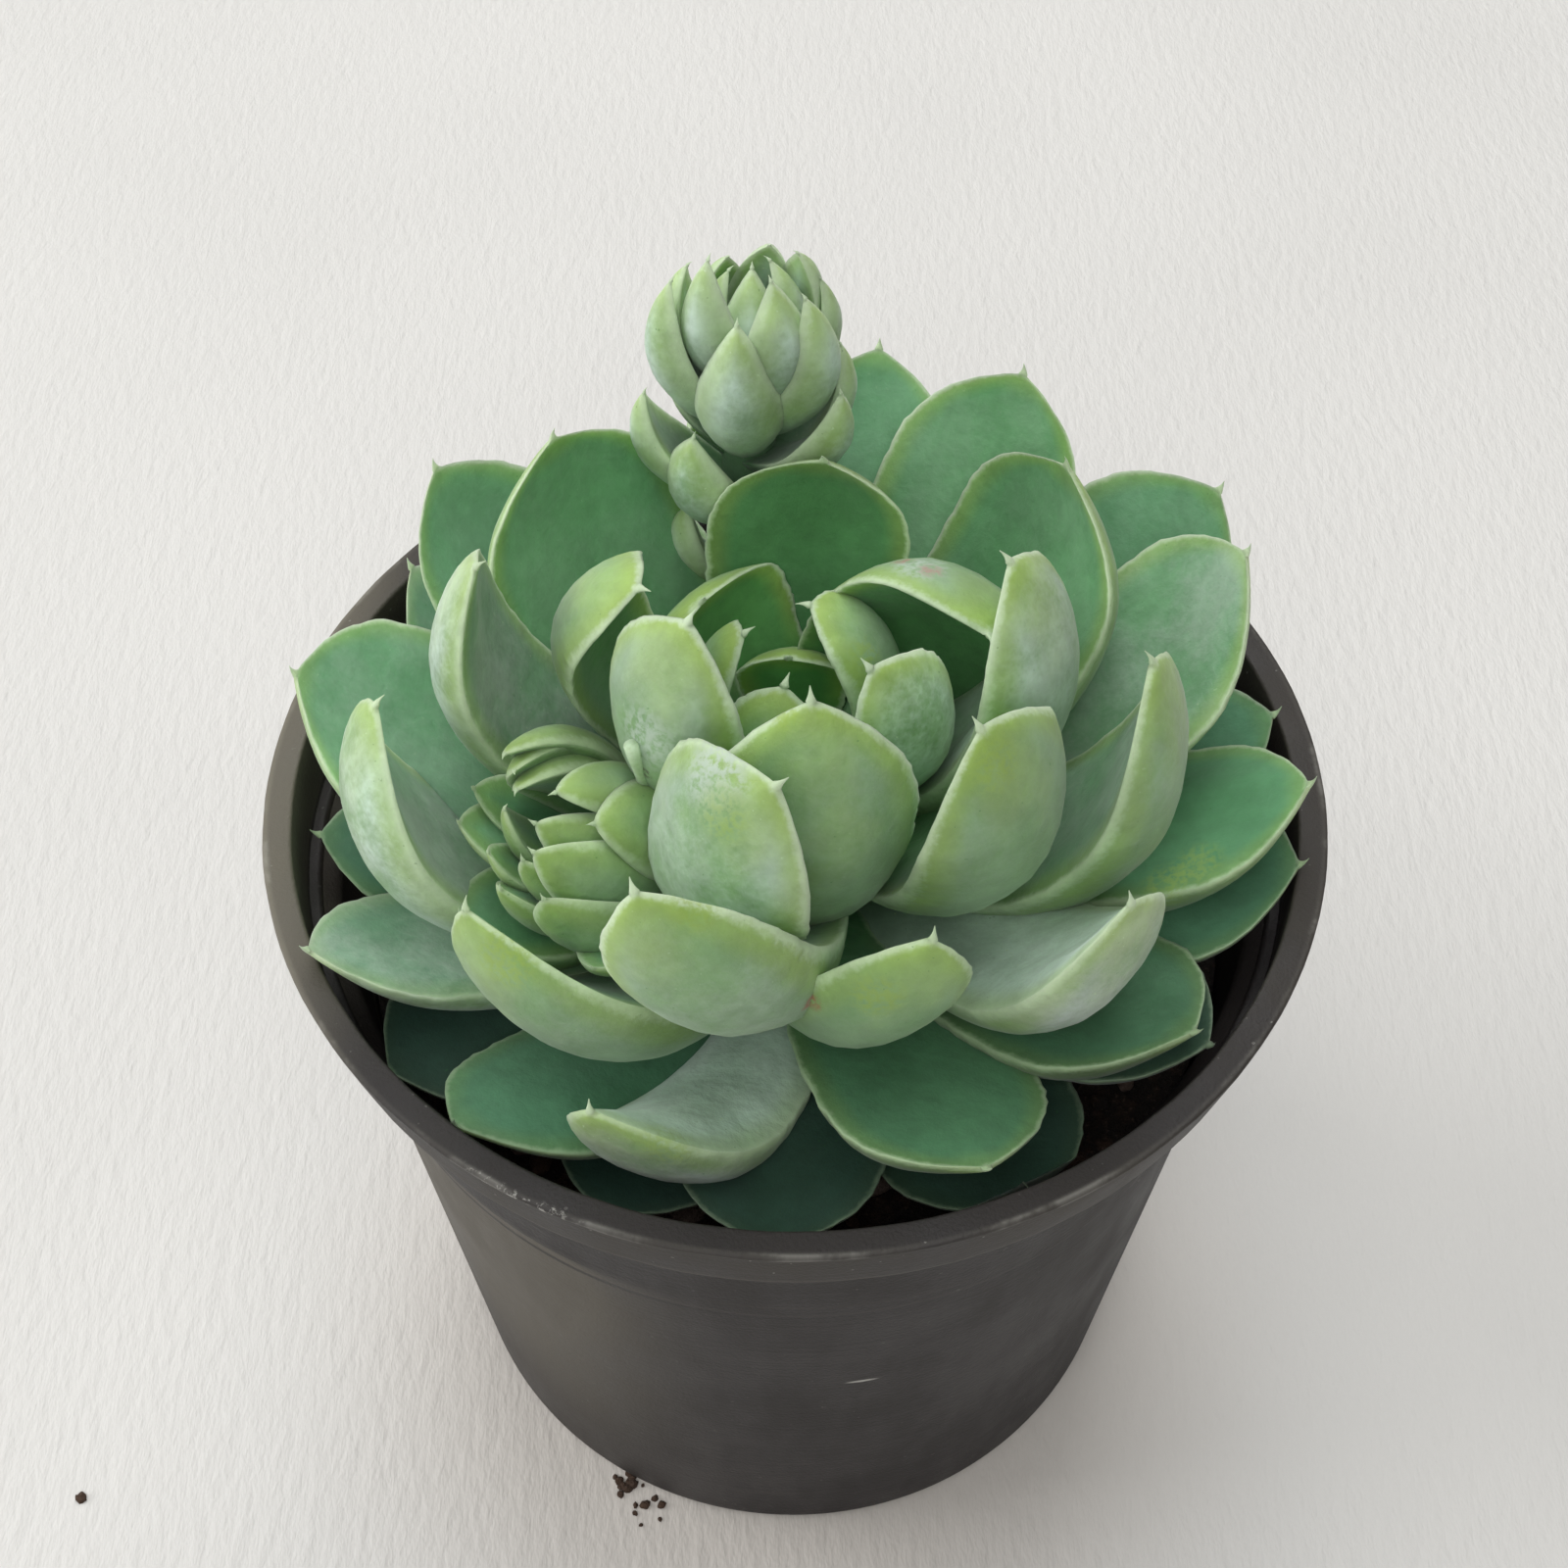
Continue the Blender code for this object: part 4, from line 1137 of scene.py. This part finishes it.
class ECHEVERIA_OT_stage(Operator):
    """Makes the pale floor, the soft light and the camera"""

    bl_idname = "echeveria.stage"
    bl_label = "Make Stage"

    def execute(self, context):
        settings = context.scene.echeveria_stage
        paint = Paint("pale paper")
        place = paint.place()
        fibre = paint.noise(paint.stretched(place, (1, 0.35, 1)), size=1.2, detail=3, roughness=0.6)
        cloud = paint.noise(place, size=60, detail=3)
        shaded = tuple(c * 0.93 for c in settings.floor)
        body = paint.mix(paint.smooth(cloud, 0.35, 0.75) * 0.5, settings.floor, shaded)
        # Round the pot's foot the floor is painted darker and warmer: partly a soil stain, partly painted
        # shade.
        body = paint.mix(paint.near(place, STAIN_AND_SHADE_CENTRE, STAIN_AND_SHADE_RADIUS) * 0.5, body, settings.stain_and_shade)
        grid = bmesh.new()
        bmesh.ops.create_grid(grid, x_segments=8, y_segments=8, size=2)
        floor = placed("floor", mesh_of("floor", grid))
        floor.data.materials.append(
            paint.done({"Base Color": body, "Roughness": 0.85, "Normal": paint.bump(fibre, 0.00025)})
        )

        draw = random.Random(settings.seed)
        crumbs = Shell(("kind",))
        for x, y, spread, number in FLOOR_CRUMBS:
            for _ in range(number):
                size = draw.uniform(0.12, 0.38)
                centre = Vector((x + draw.gauss(0, spread), y + draw.gauss(0, spread / 2), size * 0.4))
                seed = draw.uniform(0, 99)
                turn = Matrix.Rotation(draw.uniform(0, 6), 3, "Z")
                add_lump(crumbs, centre, size, 0.7, seed, turn, kind=0.5)
        material = mix_material("spilt potting mix", context.scene.echeveria_mix)
        crumbs.object("floor_crumbs", material)

        world = bpy.data.worlds.new("soft daylight")
        world.use_nodes = True
        sky = world.node_tree.nodes["Background"]
        sky.inputs["Color"].default_value = (*settings.sky, 1)
        sky.inputs["Strength"].default_value = settings.sky_strength
        context.scene.world = world

        for name, size, spot in LIGHTS:
            light = bpy.data.lights.new(name + " light", "AREA")
            light.energy = getattr(settings, name + "_power")
            light.shape = "RECTANGLE"
            light.size, light.size_y = size
            lamp = placed(name + " light", light)
            lamp.location = spot
            aim = Vector(LIGHTS_AIM) - lamp.location
            lamp.rotation_euler = aim.to_track_quat("-Z", "Y").to_euler()

        camera = placed("camera", bpy.data.cameras.new("camera"))
        camera.data.lens = settings.lens
        camera.data.sensor_width = SENSOR_WIDTH
        camera.data.clip_start = 0.01
        camera.location = settings.position
        camera.rotation_euler = (settings.tilt, 0, 0)
        context.scene.camera = camera
        context.scene.view_settings.view_transform = "Standard"
        return {"FINISHED"}


class ECHEVERIA_PT_build(Panel):
    """Lists the steps that make the plant and its stage"""

    bl_idname = "ECHEVERIA_PT_build"
    bl_label = "Potted Echeveria"
    bl_space_type = "VIEW_3D"
    bl_region_type = "UI"
    bl_category = "Echeveria"

    def draw(self, context):
        for step in STEPS:
            self.layout.operator(step.bl_idname)


SETTINGS = {
    "echeveria_pot": PotSettings,
    "echeveria_mix": MixSettings,
    "echeveria_leaves": LeafSettings,
    "echeveria_stage": StageSettings,
}
STEPS = (
    ECHEVERIA_OT_pot,
    ECHEVERIA_OT_potting_mix,
    ECHEVERIA_OT_rosette,
    ECHEVERIA_OT_offset,
    ECHEVERIA_OT_shoot,
    ECHEVERIA_OT_stage,
)


def register():
    for name, group in SETTINGS.items():
        bpy.utils.register_class(group)
        setattr(bpy.types.Scene, name, PointerProperty(type=group))
    for step in (*STEPS, ECHEVERIA_PT_build):
        bpy.utils.register_class(step)


def unregister():
    for step in (ECHEVERIA_PT_build, *reversed(STEPS)):
        bpy.utils.unregister_class(step)
    for name, group in reversed(SETTINGS.items()):
        delattr(bpy.types.Scene, name)
        bpy.utils.unregister_class(group)


def main():
    register()
    bpy.ops.echeveria.pot()
    bpy.ops.echeveria.potting_mix()
    bpy.ops.echeveria.rosette()
    bpy.ops.echeveria.offset()
    bpy.ops.echeveria.shoot()
    bpy.ops.echeveria.stage()


if __name__ == "__main__":
    main()
